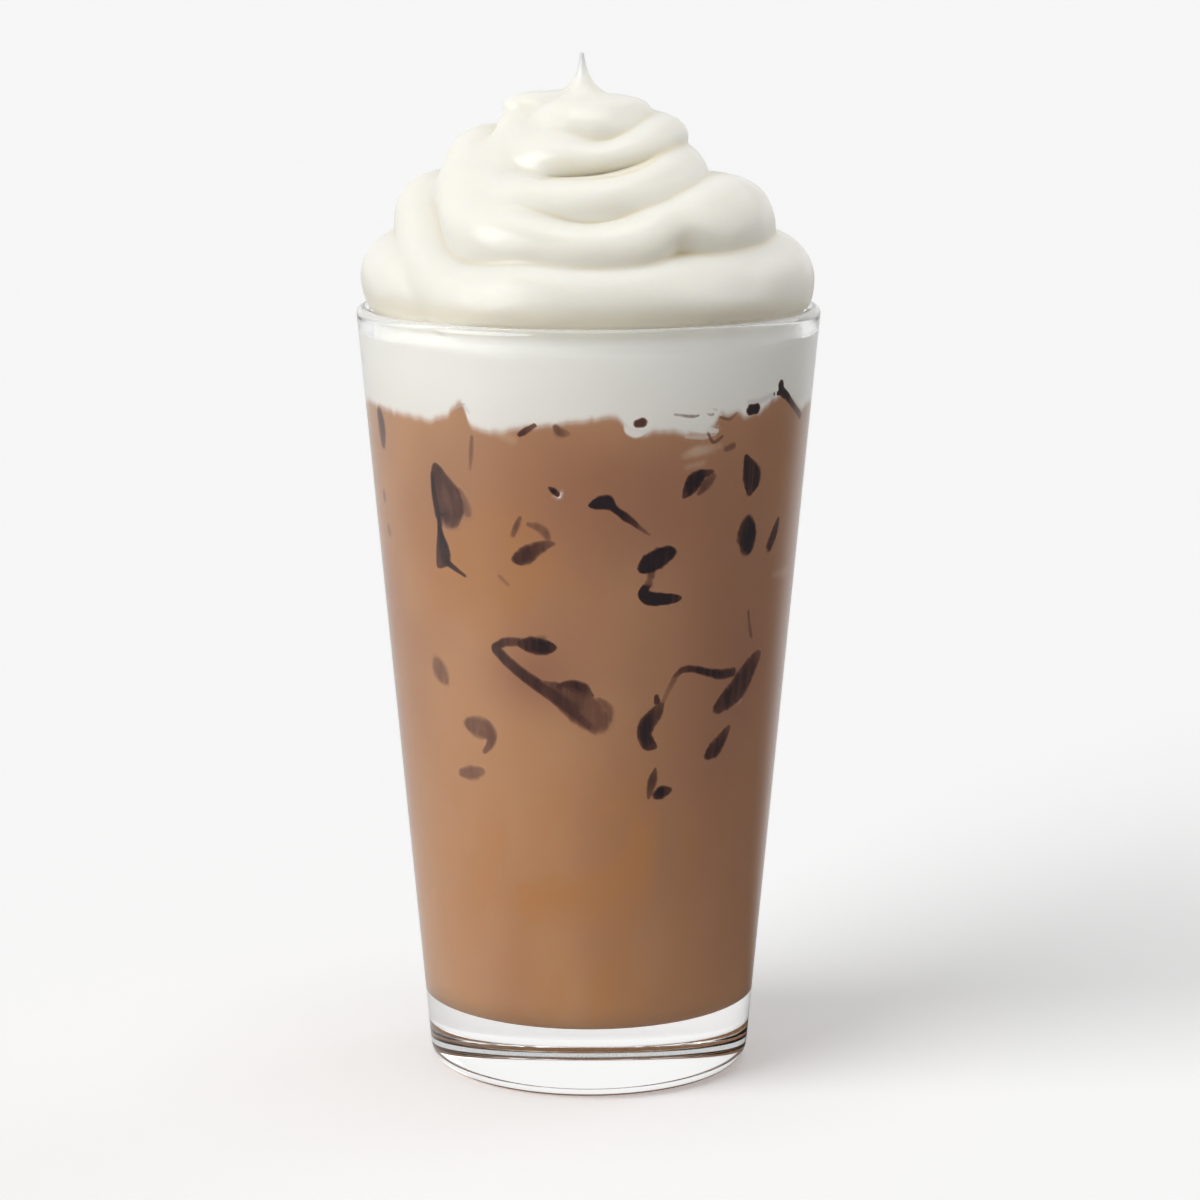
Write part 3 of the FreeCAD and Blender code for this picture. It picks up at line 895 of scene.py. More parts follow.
@dataclass
class MarkField:
    """All marks together: their strength anywhere on the wall, and the pieces that show them."""

    glass: GlassShape
    marks: tuple[Mark, ...]
    steps: int = 24
    section: int = 22

    def strength(self, kind: MarkKind, degrees: np.ndarray, height: np.ndarray) -> np.ndarray:
        """The strongest mark of a kind at places on the wall.

        A mark's size is the distance to its spine over the half width there, with a low
        wave. Its strength holds inside and fades to nothing just past size 1.

        Args:
            kind: Which marks.
            degrees: Degrees right of the front.
            height: Heights in metres.

        Returns:
            Strengths from 0 to 1, in the shape of degrees.
        """
        total = np.zeros(height.shape)
        for mark in self.marks:
            if mark.kind is not kind:
                continue
            line = mark.points(self.glass, self.steps)
            middle, level = mark.middle
            turn = (degrees - middle + 180) % 360 - 180
            side = np.radians(turn) * self.glass.inner(level * MM) / MM
            up = height / MM
            reach = 1.8 * line[:, 2].max()
            near = (side > line[:, 0].min() - reach) & (side < line[:, 0].max() + reach)
            near &= (up > line[:, 1].min() - reach) & (up < line[:, 1].max() + reach)
            if not near.any():
                continue
            place = np.stack([side[near], up[near]], -1)[:, None, :]
            step = np.diff(line, axis=0)
            along = ((place - line[:-1, :2]) * step[:, :2]).sum(-1) / (step[:, :2] ** 2).sum(-1)
            along = np.clip(along, 0, 1)
            foot = line[:-1] + along[:, :, None] * step
            size = np.linalg.norm(place - foot[:, :, :2], axis=-1) / foot[:, :, 2]
            best = size.argmin(axis=1)[:, None]
            size = np.take_along_axis(size, best, 1)[:, 0]
            value = np.take_along_axis(foot[:, :, 3], best, 1)[:, 0]
            wave = np.sin(2.9 * place[:, 0, 0] + 1.7 * place[:, 0, 1] + middle)
            size = size * (1 + 0.07 * wave * np.sin(2.3 * place[:, 0, 1] - level))
            value = value * (1 - ramp(size, 1.05 - 0.6 * mark.soft, 1.1 + 0.55 * mark.soft))
            total[near] = np.maximum(total[near], value)
        return total

    def tones(self, degrees: np.ndarray, height: np.ndarray) -> dict[str, np.ndarray]:
        """Everything that colours a place on the wall.

        Warmth rises in a few broad patches. A rosy share rises towards the upper front and the back, and
        in a broad patch on the right side that is painted shade. Cream passes from 0 to 1 across the
        cream's lower edge, and is 1 in a wisp.

        Args:
            degrees: Degrees right of the front.
            height: Heights in metres.

        Returns:
            A value from 0 to 1 at each place, by the name of the point attribute.
        """
        warmth = np.full(height.shape, 0.15)
        for place, level, wide, tall in ((-28, 42, 24, 18), (-12, 22, 34, 9), (8, 50, 20, 14),
                                         (-30, 104, 22, 12), (150, 45, 30, 20), (-140, 60, 30, 18)):
            turn = (degrees - place + 180) % 360 - 180
            warmth += 0.75 * np.exp(-(turn / wide) ** 2 - ((height / MM - level) / tall) ** 2)
        # Rosy patches; the broad one at 48 degrees right is painted shade on the drink's right side.
        rose_and_shade = np.zeros(height.shape)
        for place, level, wide, tall in ((4, 118, 26, 14), (48, 84, 30, 60), (-16, 84, 14, 7),
                                         (170, 100, 60, 30)):
            turn = (degrees - place + 180) % 360 - 180
            rose_and_shade += np.exp(-(turn / wide) ** 2 - ((height / MM - level) / tall) ** 2)
        cream = ramp(height - cream_edge(degrees), -1.1 * MM, 0.9 * MM)
        # Dark is painted shade at the ice, and hollow is painted shade in the cream's hollows.
        return {"dark": self.strength(I, degrees, height), "milk": self.strength(P, degrees, height),
                "cream": np.maximum(cream, self.strength(W, degrees, height)),
                "hollow": self.strength(S, degrees, height), "warmth": np.clip(warmth, 0, 1),
                "rose_and_shade": np.clip(rose_and_shade, 0, 1)}

    def body(self, mark: Mark, proud: float) -> np.ndarray:
        """Rings of points round a mark's spine: a face just in the wall and a body behind it.

        Round each ring v = cos t runs across the mark. The face lies on the cone of the
        wall and dips at its edge, and the body behind is half of an ellipse. Past the ends
        the half width closes as a circle.

        Args:
            mark: The mark, on the wall.
            proud: How far the face reaches into the wall, in metres.

        Returns:
            Points shaped (rings, section, 3).
        """
        line = mark.points(self.glass, self.steps)
        grow = (1.2 + 0.55 * mark.soft) * line[:, 2] + 0.1
        slope = np.gradient(line[:, :2], axis=0)
        slope /= np.linalg.norm(slope, axis=1)[:, None]
        cap = np.sin(np.radians([90, 65, 40, 20]))[:, None]
        shut = np.cos(np.radians([90, 65, 40, 20]))
        first = line[0, :2] - slope[0] * cap * grow[0]
        last = (line[-1, :2] + slope[-1] * cap * grow[-1])[::-1]
        spine = np.vstack([first, line[:, :2], last])
        half = np.concatenate([grow[0] * shut, grow, (grow[-1] * shut)[::-1]])[:, None]
        slope = np.vstack([np.repeat(slope[:1], 4, 0), slope, np.repeat(slope[-1:], 4, 0)])
        turn = np.linspace(0, 2 * math.pi, self.section, endpoint=False)[None, :]
        across = np.cos(turn) * half
        side = spine[:, :1] - slope[:, 1:] * across
        z = (spine[:, 1:] + slope[:, :1] * across) * MM
        front = proud * (1 - np.cos(turn) ** 6) * np.minimum(half, 1)
        behind = -np.abs(np.sin(turn)) * np.minimum(half, 1) * (0.8 + 0.5 * half) * MM
        radius = self.glass.inner(z) + np.where(np.sin(turn) > 1e-9, front, behind)
        degrees, level = mark.middle
        azimuth = math.radians(degrees - 90) + side * MM / self.glass.inner(level * MM)
        return np.stack([radius * np.cos(azimuth), radius * np.sin(azimuth), z], -1)

    def pieces(self, name: str, kinds: tuple[MarkKind, ...], proud: float) -> bpy.types.Object:
        """One joined object of the bodies of all marks of some kinds.

        Args:
            name: Piece name.
            kinds: Which marks.
            proud: How far the faces reach into the wall, in metres.

        Returns:
            The object, with the tones of the wall as point attributes.
        """
        points = np.stack([self.body(mark, proud) for mark in self.marks if mark.kind in kinds])
        count, rows, columns, _ = points.shape
        faces = [ring_faces(rows, columns, start * rows * columns) for start in range(count)]
        flat = points.reshape(-1, 3)
        mesh = bpy.data.meshes.new(name)
        mesh.from_pydata(flat.tolist(), [], np.vstack(faces).tolist())
        degrees = front_degrees(np.arctan2(flat[:, 1], flat[:, 0]))
        for key, value in self.tones(degrees, flat[:, 2]).items():
            mesh.attributes.new(key, "FLOAT", "POINT").data.foreach_set("value", value.astype(np.float32))
        weld_poles(mesh)
        return linked(name, mesh)


def weld_poles(mesh: bpy.types.Mesh) -> None:
    """Merges the points that meet at each pole, so that the pieces are closed.

    Args:
        mesh: The mesh to mend.
    """
    work = bmesh.new()
    work.from_mesh(mesh)
    bmesh.ops.remove_doubles(work, verts=work.verts, dist=1e-7)
    bmesh.ops.recalc_face_normals(work, faces=work.faces)
    work.to_mesh(mesh)
    work.free()


# --- Drink, ice and cream ----------------------------------------------------------------

# Where the cream's lower edge lies on the wall: degrees right of the front, millimetres up.
CREAM_EDGE = (
    (-180, 131.0), (-168, 130.2), (-155, 131.8), (-146, 133.6), (-141, 131.2), (-128, 130.4),
    (-115, 131.9), (-104, 130.6), (-97, 132.8), (-88, 131.2), (-78, 132.1), (-60, 131.5),
    (-49, 131.3), (-45, 131.0), (-39, 132.4), (-36.2, 134.3), (-34.6, 135.6), (-33.2, 134.0),
    (-32, 130.6), (-28, 129.9), (-23, 130.1), (-16.4, 131.2), (-7, 132.0), (0, 132.6),
    (6, 133.4), (8.6, 132.4), (10, 130.6), (13.3, 129.8), (16.5, 130.2), (21, 130.3),
    (26, 129.6), (31, 129.4), (34, 130.2), (36.4, 133.4), (38, 132.0), (41, 133.0),
    (45, 131.6), (50, 132.3), (56, 134.4), (61, 135.2), (66, 133.2), (72, 130.7), (80, 131.8),
    (90, 130.8), (101, 132.6), (110, 131.0), (123, 131.9), (131, 129.9), (140, 131.6),
    (152, 130.6), (160, 132.9), (166, 130.8), (180, 131.0),
)


def cream_edge(degrees: np.ndarray) -> np.ndarray:
    """Height of the cream's lower edge on the wall, in metres.

    The listed points are joined by straight lines, then averaged under a narrow bell so
    that the edge has no corners. Products of sines add a ragged fifth of a millimetre.

    Args:
        degrees: Degrees right of the front.

    Returns:
        Heights in metres, in the shape of degrees.
    """
    places, heights = np.array(CREAM_EDGE).T
    fine = np.arange(-180, 180, 0.25)
    line = np.interp(fine, places, heights)
    offsets = np.arange(-8, 9)
    bell = np.exp(-(offsets * 0.25 / 0.7) ** 2)
    smooth = sum(weight * np.roll(line, offset) for weight, offset in zip(bell, offsets))
    turn = np.radians(fine)
    ragged = np.sin(71 * turn + 2 * np.sin(19 * turn)) * np.sin(23 * turn + 1)
    ragged += 0.7 * np.sin(113 * turn + 3 * np.sin(11 * turn)) * np.sin(31 * turn)
    return np.interp(degrees, fine, smooth / bell.sum() + 0.20 * ragged, period=360) * MM


@dataclass
class Drink:
    """The mocha: fills the glass from its floor to the cream, with marks of ice on its wall."""

    glass: GlassShape
    marks: MarkField
    finish: MilkyCoffee = MilkyCoffee()
    columns: int = 400
    wall_rows: int = 210
    into_wall: float = 0.05 * MM

    def build(self) -> bpy.types.Object:
        """Rings up the floor's round and the wall: radius = inside of the glass plus a hair.

        The top closes level, a little above the cream's edge and out of sight behind it.

        Returns:
            The drink as one closed piece.
        """
        s = self.glass
        angle = around(self.columns)
        degrees = front_degrees(angle)
        edge = np.array([s.inner(s.floor), s.floor])
        rim = np.array([s.rim_radius - s.rim_wall, s.lip_z])
        corner = corner_arc(np.array([0.0, s.floor]), edge, rim, s.floor_corner, 14)
        floor = np.linspace(0.05, 1, 8)[:-1, None] * [[corner[0, 0], 0.0]] + [[0.0, s.floor]]
        low = np.vstack([floor, corner])
        low_r = np.repeat(low[:, :1], self.columns, 1)
        low_z = np.repeat(low[:, 1:], self.columns, 1)
        top = cream_edge(degrees) + 0.8 * MM
        share = np.linspace(0, 1, self.wall_rows)[1:, None]
        wall_z = corner[-1, 1] + (top[None, :] - corner[-1, 1]) * share
        lid_share = np.array([0.96, 0.8, 0.5, 0.2])[:, None]
        lid_r = s.inner(top)[None, :] * lid_share
        lid_z = top[None, :] * lid_share + (top.mean() - 0.5 * MM) * (1 - lid_share)
        radius = np.vstack([low_r, s.inner(wall_z), lid_r]) + self.into_wall
        height = np.vstack([low_z - self.into_wall, wall_z, lid_z])
        rings = np.stack([radius * np.cos(angle), radius * np.sin(angle), height], -1)
        grid_degrees = np.broadcast_to(degrees, height.shape)
        piece = shell_object("milky_coffee", rings, Vector((0, 0, s.floor - self.into_wall)),
                             Vector((0, 0, float(top.mean()) - 0.6 * MM)),
                             self.colours(grid_degrees, height))
        piece.data.materials.append(self.finish.material())
        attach(piece, "root")
        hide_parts("mocha")
        return piece

    def colours(self, degrees: np.ndarray, height: np.ndarray) -> dict[str, np.ndarray]:
        """The wall's tones without those that the ice and the wisps show themselves."""
        tones = self.marks.tones(degrees, height)
        return {key: tones[key] for key in ("milk", "warmth", "rose_and_shade", "cream")}


@dataclass
class IceInDrink:
    """The ice: what shows of it where cubes press against the glass, coloured with painted shade of the
    drink's depth behind it.
    """

    marks: MarkField
    finish: MilkyCoffee = MilkyCoffee()
    proud: float = 0.12 * MM

    def build(self) -> bpy.types.Object:
        """Fills every mark of clear ice, at the front and at the back.

        Returns:
            The ice as one object.
        """
        piece = self.marks.pieces("ice_at_wall", (I,), self.proud)
        piece.data.materials.append(self.finish.material("ice_with_painted_shade"))
        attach(piece, "root")
        return piece


@dataclass
class CreamWisps:
    """Wisps of cream that hang in the drink, and painted shade in thin hollows of the pressed cream."""

    marks: MarkField
    finish: MilkyCoffee = MilkyCoffee()
    proud: float = 0.14 * MM

    def build(self) -> bpy.types.Object:
        """Fills every wisp, and the painted shade of every hollow.

        Returns:
            The wisps and hollows as one object.
        """
        piece = self.marks.pieces("cream_wisps", (W, S), self.proud)
        piece.data.materials.append(self.finish.material("cream_wisps_and_hollow_shade"))
        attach(piece, "root")
        return piece


@dataclass(frozen=True)
class Turn:
    """One turn of the swirl: reach and height at three places, and its section.

    Reaches and widths are shares of the swirl's radius, heights of its rise.
    """

    left: tuple[float, float]
    right: tuple[float, float]
    front: tuple[float, float]
    half: tuple[float, float]


@dataclass(frozen=True)
class Lump:
    """A lump or waist in the rope of cream. Lift and push are millimetres."""

    at: float
    half_length: float
    swell: float
    lift: float = 0.0
    push: float = 0.0


TURNS = {
    -1: Turn((0.968, 0.017), (0.979, 0.017), (0.977, 0.038), (0.219, 0.177)),
    0: Turn((1.000, 0.106), (1.000, 0.100), (0.982, 0.050), (0.219, 0.200)),
    1: Turn((0.843, 0.346), (0.820, 0.329), (0.876, 0.292), (0.203, 0.183)),
    2: Turn((0.615, 0.542), (0.548, 0.498), (0.700, 0.428), (0.184, 0.170)),
    3: Turn((0.353, 0.690), (0.459, 0.672), (0.418, 0.598), (0.140, 0.096)),
    4: Turn((0.378, 0.700), (0.312, 0.700), (0.305, 0.696), (0.155, 0.106)),
    5: Turn((0.300, 0.700), (0.184, 0.700), (0.138, 0.700), (0.127, 0.096)),
}
LUMPS = (
    Lump(0.80, 0.030, 0.05, 0.5, 0.3),
    Lump(1.575, 0.065, 0.10, 0.2, 1.3),
    Lump(1.668, 0.022, -0.34, 2.5, -1.8),
    Lump(1.745, 0.070, -0.26, -2.2, 0.0),
    Lump(2.50, 0.060, -0.08, 0.0, 0.0),
    Lump(2.74, 0.110, -0.18, 0.0, 0.0),
    Lump(3.50, 0.070, -0.12, 0.0, 0.0),
    Lump(3.72, 0.100, -0.38, 0.0, 0.0),
)


@dataclass
class Swirl:
    """The whipped cream: a plug in the glass and one rope that winds up to a drawn point."""

    glass: GlassShape
    finish: bpy.types.Material
    rise: float = 0.048
    inset: float = 0.00105
    wall_free: float = 0.0034
    rim_clearance: float = 0.0004
    lean: float = -0.0256
    meld: float = 0.00040
    soft_meld: float = 0.0026
    dome_meld: float = 0.0026
    tip_radius: float = 0.0003
    tip_flare: float = 0.0033
    core: float = 0.013
    bed_round: float = 0.012
    bed_rise: float = 0.004
    start: float = -0.20
    end: float = 5.0
    start_fade: float = 0.15
    end_fade: float = 0.14
    columns: int = 400
    rows: int = 214
    probes: int = 560

    @property
    def radius(self) -> float:
        """Reach of the widest turn."""
        return self.glass.rim_radius - self.inset

    @property
    def contact(self) -> float:
        """Height at which the cream leaves the wall."""
        return self.glass.height - self.wall_free

    @property
    def tip(self) -> Vector:
        """The drawn-out point."""
        return Vector((self.lean * self.rise, 0, self.glass.height + self.rise))

    def between(self, turn: int, place: np.ndarray, item: int) -> np.ndarray:
        """Reach (0) or height (1) of a turn at places in it, as shares.

        It runs smoothly from the left over the right to the front, and late in the turn it
        climbs or closes in to the next turn's left.

        Args:
            turn: Number of the turn.
            place: Places in the turn, 0 to 1.
            item: 0 for the reach, 1 for the height.

        Returns:
            Shares of the radius or of the rise, at those places.
        """
        this, after = TURNS[turn], TURNS[turn + 1]
        leave = 0.85 if item == 1 else 0.82
        value = this.left[item] + (this.right[item] - this.left[item]) * ramp(place, 0.0, 0.5)
        value += (this.front[item] - this.right[item]) * ramp(place, 0.5, 0.74)
        return value + (after.left[item] - this.front[item]) * ramp(place, leave, 1.0)

    def section(self, turn: int, place: np.ndarray) -> tuple[np.ndarray, ...]:
        """Centre radius, centre height, half width and half height of a turn's rope.

        Args:
            turn: Number of the turn.
            place: Places in the turn, 0 to 1.

        Returns:
            The four, in metres.
        """
        along = turn + place
        change = ramp(place, 0.5, 1.0)
        this, after = TURNS[turn].half, TURNS[turn + 1].half
        wide = self.radius * (this[0] + (after[0] - this[0]) * change)
        tall = self.rise * (this[1] + (after[1] - this[1]) * change)
        reach = self.radius * self.between(turn, place, 0)
        height = self.glass.height + self.rise * self.between(turn, place, 1)
        for lump in LUMPS:
            weight = np.exp(-((along - lump.at) / lump.half_length) ** 2)
            wide = wide * (1 + lump.swell * weight)
            tall = tall * (1 + lump.swell * weight)
            reach = reach + lump.push * MM * weight
            height = height + lump.lift * MM * weight
        taper = ramp(along, self.start, self.start + self.start_fade)
        taper = taper * (1 - ramp(along, self.end - self.end_fade, self.end))
        taper = 0.3 + 0.7 * taper
        return reach - wide, height, wide * taper, tall * taper

    def outside(self, radius: np.ndarray, z: np.ndarray, place: np.ndarray,
                sections: list[tuple[np.ndarray, ...]]) -> np.ndarray:
        """Rounded union of the rope's sections: positive outside it, negative inside.

        Minus the softness times the log of the summed exponentials of minus each distance
        over the softness. A section's distance is its elliptic size q times (q - 1) over
        the length of its gradient.

        Args:
            radius: Distances from the axis in metres.
            z: Heights in metres.
            place: Places in the turn, 0 to 1.
            sections: For the bed and every turn its centre radius and height, half width and
                height in metres, and where it is there at all.

        Returns:
            About how far outside the surface each place is, in metres.
        """
        rise = (z - self.glass.height) / self.rise
        front_left = ramp(place, 0.68, 0.84) * (1 - ramp(place, 0.93, 1.0))
        upper = ramp(rise, 0.35, 0.55) * (1 - 0.7 * ramp(rise, 0.60, 0.73))
        soft = self.meld + (self.soft_meld - self.meld) * front_left * upper
        dome = ramp(rise, 0.74, 0.82)
        soft = soft + (self.dome_meld - soft) * dome
        total = np.exp(-np.clip((radius - self.core_radius(z)) / soft, -60, 60))
        for centre_r, centre_z, wide, tall, live in sections:
            across = (radius - centre_r) / wide
            up = (z - centre_z) / tall
            size = np.hypot(across, up)
            slope = np.maximum(np.hypot(across / wide, up / tall), 1e-3)
            distance = np.where(live, size * (size - 1) / slope, 1.0)
            total += np.exp(-np.clip(distance / soft, -60, 60))
        return -soft * np.log(total)

    def core_radius(self, z: np.ndarray) -> np.ndarray:
        """The point: it flares down e times for each tip_flare, levelling off at the core."""
        flare = self.tip_radius * np.exp((self.glass.height + self.rise - z) / self.tip_flare)
        return self.core * (1 - np.exp(-flare / self.core))

    def rim_limit(self, z: np.ndarray) -> np.ndarray:
        """The widest that the cream may be inside the round of the rim.

        Args:
            z: Heights in metres.

        Returns:
            Radii in metres.
        """
        g = self.glass
        gap = g.lip + self.rim_clearance
        lip = g.rim_radius - g.lip - np.sqrt(np.maximum(gap ** 2 - (z - g.lip_z) ** 2, 0))
        limit = np.where(z < g.lip_z, g.inner(z) - self.rim_clearance, lip)
        return np.where(z < g.height + self.rim_clearance, limit, 1.0)

    def surface(self, place: np.ndarray, z: np.ndarray) -> np.ndarray:
        """Radius of the swirl: the outermost zero of the rounded union, by halving.

        Args:
            place: Places in the turn, 0 to 1.
            z: Heights in metres.

        Returns:
            Radii in metres.
        """
        bed = self.glass.inner(self.contact) - self.rim_clearance - self.bed_round
        sections = [(bed, self.contact, self.bed_round, self.bed_rise, np.array(True))]
        for turn in range(-1, 5):
            live = (turn + place >= self.start) & (turn + place <= self.end)
            sections.append((*self.section(turn, place), live))
        inside = self.core_radius(z)
        for centre_r, centre_z, wide, tall, live in sections:
            up = np.clip(np.abs(z - centre_z) / tall, 0, 1)
            reach = np.where(live & (up < 1), centre_r + wide * np.sqrt(1 - up * up), 0)
            inside = np.maximum(inside, reach)
        outside = inside + 0.012
        for _ in range(16):
            middle = (inside + outside) / 2
            is_in = self.outside(middle, z, place, sections) < 0
            inside = np.where(is_in, middle, inside)
            outside = np.where(is_in, outside, middle)
        return np.minimum(inside, self.rim_limit(z))

    def unevenness(self, angle: np.ndarray, z: np.ndarray) -> np.ndarray:
        """Low, slow waves of a tenth of a millimetre or two that hand-piped cream has.

        Args:
            angle: Angles round the axis in radians.
            z: Heights in metres.

        Returns:
            Offsets of the radius in metres.
        """
        level = z / self.rise
        wave = np.sin(5 * angle + 9 * level) * np.sin(3 * angle - 14 * level + 1.0)
        wave += 0.6 * np.sin(11 * angle + 17 * level + 2.0) * np.sin(7 * angle - 23 * level)
        return 0.13 * MM * wave

    def rings(self) -> tuple[np.ndarray, dict[str, np.ndarray]]:
        """Points of the whole cream from its hidden underside up to the tip.

        Each column of the swirl is probed at many heights. Its rings are spread evenly
        along its outline, by inverting the running length, and levelled with its neighbours.

        Returns:
            Points shaped (rows, columns, 3), and for each how much painted shade of the folds and of the
            foot on the rim it takes, and whether it is pressed against the glass.
        """
        angle = around(self.columns)
        degrees = front_degrees(angle)
        place = (0.5 - angle / (2 * math.pi)) % 1.0
        probe_z = np.linspace(self.contact, self.tip.z, self.probes, endpoint=False)[:, None]
        probe_z = np.repeat(probe_z, self.columns, 1)
        probe_r = self.surface(place[None, :], probe_z)
        steps = np.hypot(np.diff(probe_r, axis=0), np.diff(probe_z, axis=0))
        length = np.vstack([np.zeros(self.columns), np.cumsum(steps, axis=0)])
        lane = 2.0 * np.arange(self.columns)[None, :]
        known = (length / length[-1] + lane).ravel(order="F")
        wanted = (np.linspace(0, 1, self.rows)[:, None] + lane).ravel(order="F")
        z = np.interp(wanted, known, probe_z.ravel(order="F")).reshape(self.columns, self.rows).T
        bell = np.exp(-(np.arange(-24, 25) / 12.0) ** 2)
        z = sum(w * np.roll(z, k, axis=1) for w, k in zip(bell, range(-24, 25))) / bell.sum()
        z[0], z[-1] = self.contact, probe_z[-1]
        radius = self.surface(place[None, :], z)
        fade = ramp(z, self.glass.height, self.glass.height + 2 * MM)
        fade = fade * (1 - ramp(z, self.tip.z - 9 * MM, self.tip.z - 5 * MM))
        radius = radius + self.unevenness(angle[None, :], z) * fade
        # Painted shade in the hollows of the outline.
        fold_shade = self.folds(radius, z)
        edge = cream_edge(degrees)
        wall_share = np.linspace(0, 1, 18)[:-1, None] ** 1.6
        wall_z = edge[None, :] + (self.contact - edge[None, :]) * wall_share
        wall_r = self.glass.inner(wall_z) + 0.08 * MM
        under_share = np.array([0.1, 0.5, 0.9])[:, None]
        under_r = (self.glass.inner(edge) - 0.5 * MM)[None, :] * under_share
        under_z = edge[None, :] * under_share + edge.mean() * (1 - under_share)
        all_r = np.vstack([under_r, wall_r, radius])
        all_z = np.vstack([under_z, wall_z, z])
        shift = self.lean * np.maximum(all_z - self.glass.height, 0)
        points = np.stack([all_r * np.cos(angle) + shift, all_r * np.sin(angle), all_z], -1)
        pressed = 1 - ramp(all_z, self.contact - 0.5 * MM, self.glass.height)
        fold_shade = np.vstack([np.zeros_like(under_r), np.zeros_like(wall_r), fold_shade])
        stain = 1 - ramp(all_z - edge[None, :], -1.1 * MM, 0.9 * MM)
        # Painted shade where the swirl sits on the rim, fading out over its first few millimetres.
        rim_seat_shade = 0.65 * (1 - ramp(all_z, self.glass.height + 1 * MM, self.glass.height + 5 * MM))
        fold_shade = np.maximum(fold_shade, rim_seat_shade)
        return points, {"fold_shade": fold_shade * (1 - pressed), "pressed": pressed, "stain": stain}

    def folds(self, radius: np.ndarray, z: np.ndarray) -> np.ndarray:
        """How hollow the outline is at each ring: its turn to the hollow side, blurred.

        The outline's direction is the angle of its steps; where it swings outwards going up,
        the surface is hollow. The swing is summed over a few rings and graded to 0..1, and the
        cream's colour uses it as painted shade in its folds.

        Args:
            radius: Radii of the rings in metres.
            z: Heights of the rings in metres.

        Returns:
            A value from 0 to 1 at each point.
        """
        direction = np.unwrap(np.arctan2(np.gradient(z, axis=0), np.gradient(radius, axis=0)), axis=0)
        swing = -np.gradient(direction, axis=0)
        blurred = sum(np.roll(swing, shift, axis=0) for shift in range(-2, 3)) / 5
        blurred = sum(np.roll(blurred, shift, axis=1) for shift in range(-2, 3)) / 5
        hollow = ramp(blurred, 0.03, 0.35)
        hollow[:6] = 0
        hollow[-12:] = 0
        return hollow

    def build(self) -> bpy.types.Object:
        """The cream as one closed piece.

        Returns:
            The cream.
        """
        points, values = self.rings()
        low = Vector((0, 0, float(points[0, :, 2].mean())))
        piece = shell_object("piped_cream", points, low, self.tip, values)
        piece.data.materials.append(self.finish)
        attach(piece, "root")
        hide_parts("whipped_cream")
        return piece


# --- Studio ------------------------------------------------------------------------------


@dataclass(frozen=True)
class Lamp:
    """A distant soft lamp: compass angle, height angle and width in degrees, and strength.

    The compass angle runs from the front, positive to the right.
    """

    name: str
    compass: float
    height: float
    width: float
    strength: float
    cream_only: bool = False

    def build(self, cream: list[bpy.types.Object]) -> None:
        """Adds the lamp, shining along the line from its place in the sky to the object.

        Args:
            cream: The cream's pieces, which alone are lit by a lamp for the cream only.
        """
        light = bpy.data.lights.new(self.name, "SUN")
        light.energy = self.strength
        light.angle = math.radians(self.width)
        lamp = bpy.data.objects.new(self.name, light)
        side, up = math.radians(self.compass), math.radians(self.height)
        place = Vector((math.sin(side) * math.cos(up), -math.cos(side) * math.cos(up), math.sin(up)))
        lamp.location = place
        lamp.rotation_euler = (-place).to_track_quat("-Z", "Y").to_euler()
        bpy.context.scene.collection.objects.link(lamp)
        if self.cream_only:
            lit = bpy.data.collections.new(self.name + "_receivers")
            for piece in cream:
                lit.objects.link(piece)
            lamp.light_linking.receiver_collection = lit


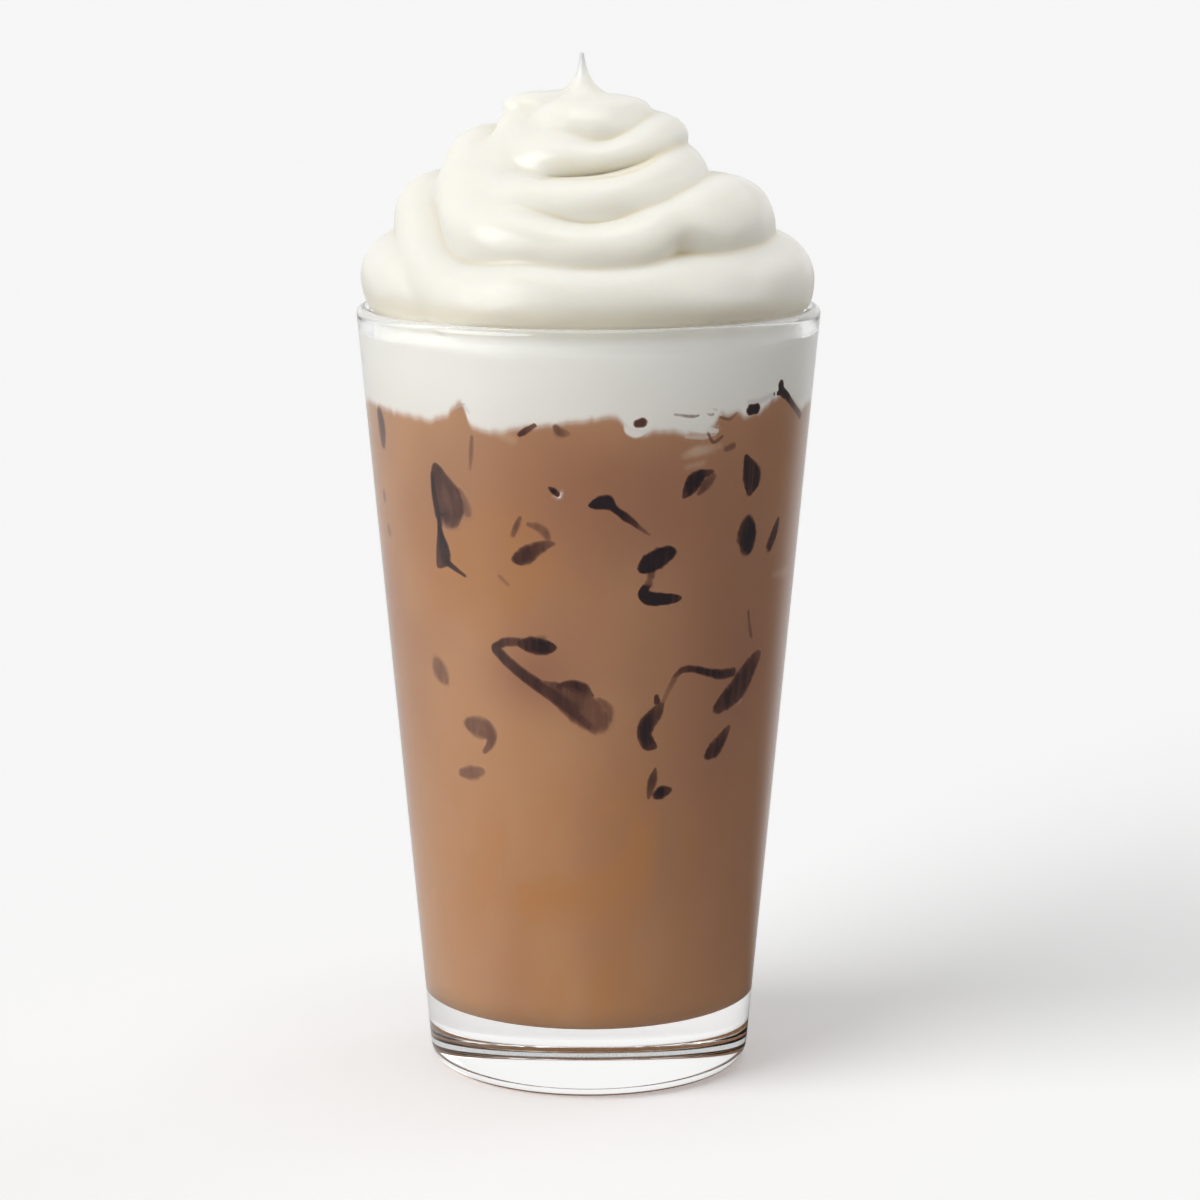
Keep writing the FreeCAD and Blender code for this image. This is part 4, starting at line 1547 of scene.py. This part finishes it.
@dataclass
class Studio:
    """Pale floor, soft light from the left and a camera a little above the rim."""

    lamps: tuple[Lamp, ...] = (
        Lamp("key", -57, 24, 50, 2.90),
        Lamp("top", 60, 86, 34, 0.60),
        Lamp("back", 125, 30, 30, 0.20),
        Lamp("cream_fill", 80, 32, 60, 1.55, True),
    )
    world_strength: float = 0.12
    camera_distance: float = EYE_DISTANCE
    camera_height: float = EYE_HEIGHT
    camera_side: float = 0.0022
    camera_pitch: float = 10.40
    camera_lens: float = 120.68
    floor_half: float = 12.0

    def build(self, cream: list[bpy.types.Object]) -> None:
        """Builds the floor, the lamps, the world and the camera.

        Args:
            cream: The cream's pieces, which one lamp lights alone.
        """
        half = self.floor_half
        mesh = bpy.data.meshes.new("studio_floor")
        mesh.from_pydata([(-half, -half, 0), (half, -half, 0), (half, half, 0), (-half, half, 0)],
                         [], [(0, 1, 2, 3)])
        floor = linked("studio_floor", mesh)
        mesh.materials.append(PaleFloor().material())
        for lamp in self.lamps:
            lamp.build(cream)
        scene = bpy.context.scene
        scene.world = self.room()
        scene.view_settings.view_transform = "Standard"
        view = bpy.data.cameras.new("camera")
        view.sensor_width = 36.0
        view.lens = self.camera_lens
        camera = bpy.data.objects.new("camera", view)
        camera.location = (self.camera_side, -self.camera_distance, self.camera_height)
        camera.rotation_euler = (math.radians(90 - self.camera_pitch), 0, 0)
        scene.collection.objects.link(camera)
        scene.camera = camera

    def room(self) -> bpy.types.World:
        """The world: a dim even fill, seen as pale in glass and as pale back walls in mirrors.

        Through glass it is pale for the eye, and about two thirds as pale for light that what the
        glass holds has scattered once.

        Returns:
            The world.
        """
        world = bpy.data.worlds.new("studio")
        world.use_nodes = True
        nodes, links = world.node_tree.nodes, world.node_tree.links
        geometry = nodes.new("ShaderNodeTexCoord")
        share = nodes.new("ShaderNodeVectorMath")
        share.operation = "DOT_PRODUCT"
        share.inputs[1].default_value = PALE_SIDE
        walls = nodes.new("ShaderNodeMapRange")
        walls.interpolation_type = "SMOOTHSTEP"
        for key, value in (("From Min", -0.3), ("From Max", 0.3), ("To Min", 0.05), ("To Max", 1.0)):
            walls.inputs[key].default_value = value
        links.new(geometry.outputs["Generated"], share.inputs[0])
        links.new(share.outputs["Value"], walls.inputs["Value"])
        path = nodes.new("ShaderNodeLightPath")
        through = nodes.new("ShaderNodeMath")
        through.operation = "MULTIPLY_ADD"
        through.use_clamp = True
        through.inputs[1].default_value = -0.35
        through.inputs[2].default_value = 1.0
        links.new(path.outputs["Diffuse Depth"], through.inputs[0])
        strength = None
        for ray, level in (("Is Glossy Ray", walls.outputs["Result"]),
                           ("Is Transmission Ray", through.outputs[0]), ("Is Camera Ray", None)):
            mix = nodes.new("ShaderNodeMix")
            mix.data_type = "FLOAT"
            mix.inputs[2].default_value = self.world_strength
            mix.inputs[3].default_value = 1.0
            if strength:
                links.new(strength, mix.inputs[2])
            if level:
                links.new(level, mix.inputs[3])
            links.new(path.outputs[ray], mix.inputs[0])
            strength = mix.outputs[0]
        background = nodes["Background"]
        background.inputs["Color"].default_value = (1, 1, 1, 1)
        links.new(strength, background.inputs["Strength"])
        return world


def main() -> None:
    """Builds the drink in order, sized from the glass's box, then the studio."""
    logging.basicConfig(level=logging.INFO, format="%(name)s: %(message)s")
    _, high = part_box("glass")
    shape = GlassShape(height=round(high[2], 4), rim_radius=round(high[0], 5))
    sight = Sight(shape)
    front = tuple(sight.mark(seen) for seen in FRONT_MARKS)
    marks = MarkField(shape, front + back_marks(front))
    pieces = [Drink(shape, marks).build(), IceInDrink(marks).build(), CreamWisps(marks).build(),
              Swirl(shape, WhippedCream().material()).build(), Glass(shape).build()]
    for piece in pieces:
        LOG.info("%s: %d points, %d faces", piece.name, len(piece.data.vertices), len(piece.data.polygons))
    Studio().build([pieces[2], pieces[3]])
    bpy.context.view_layer.update()


if __name__ == "__main__":
    main()
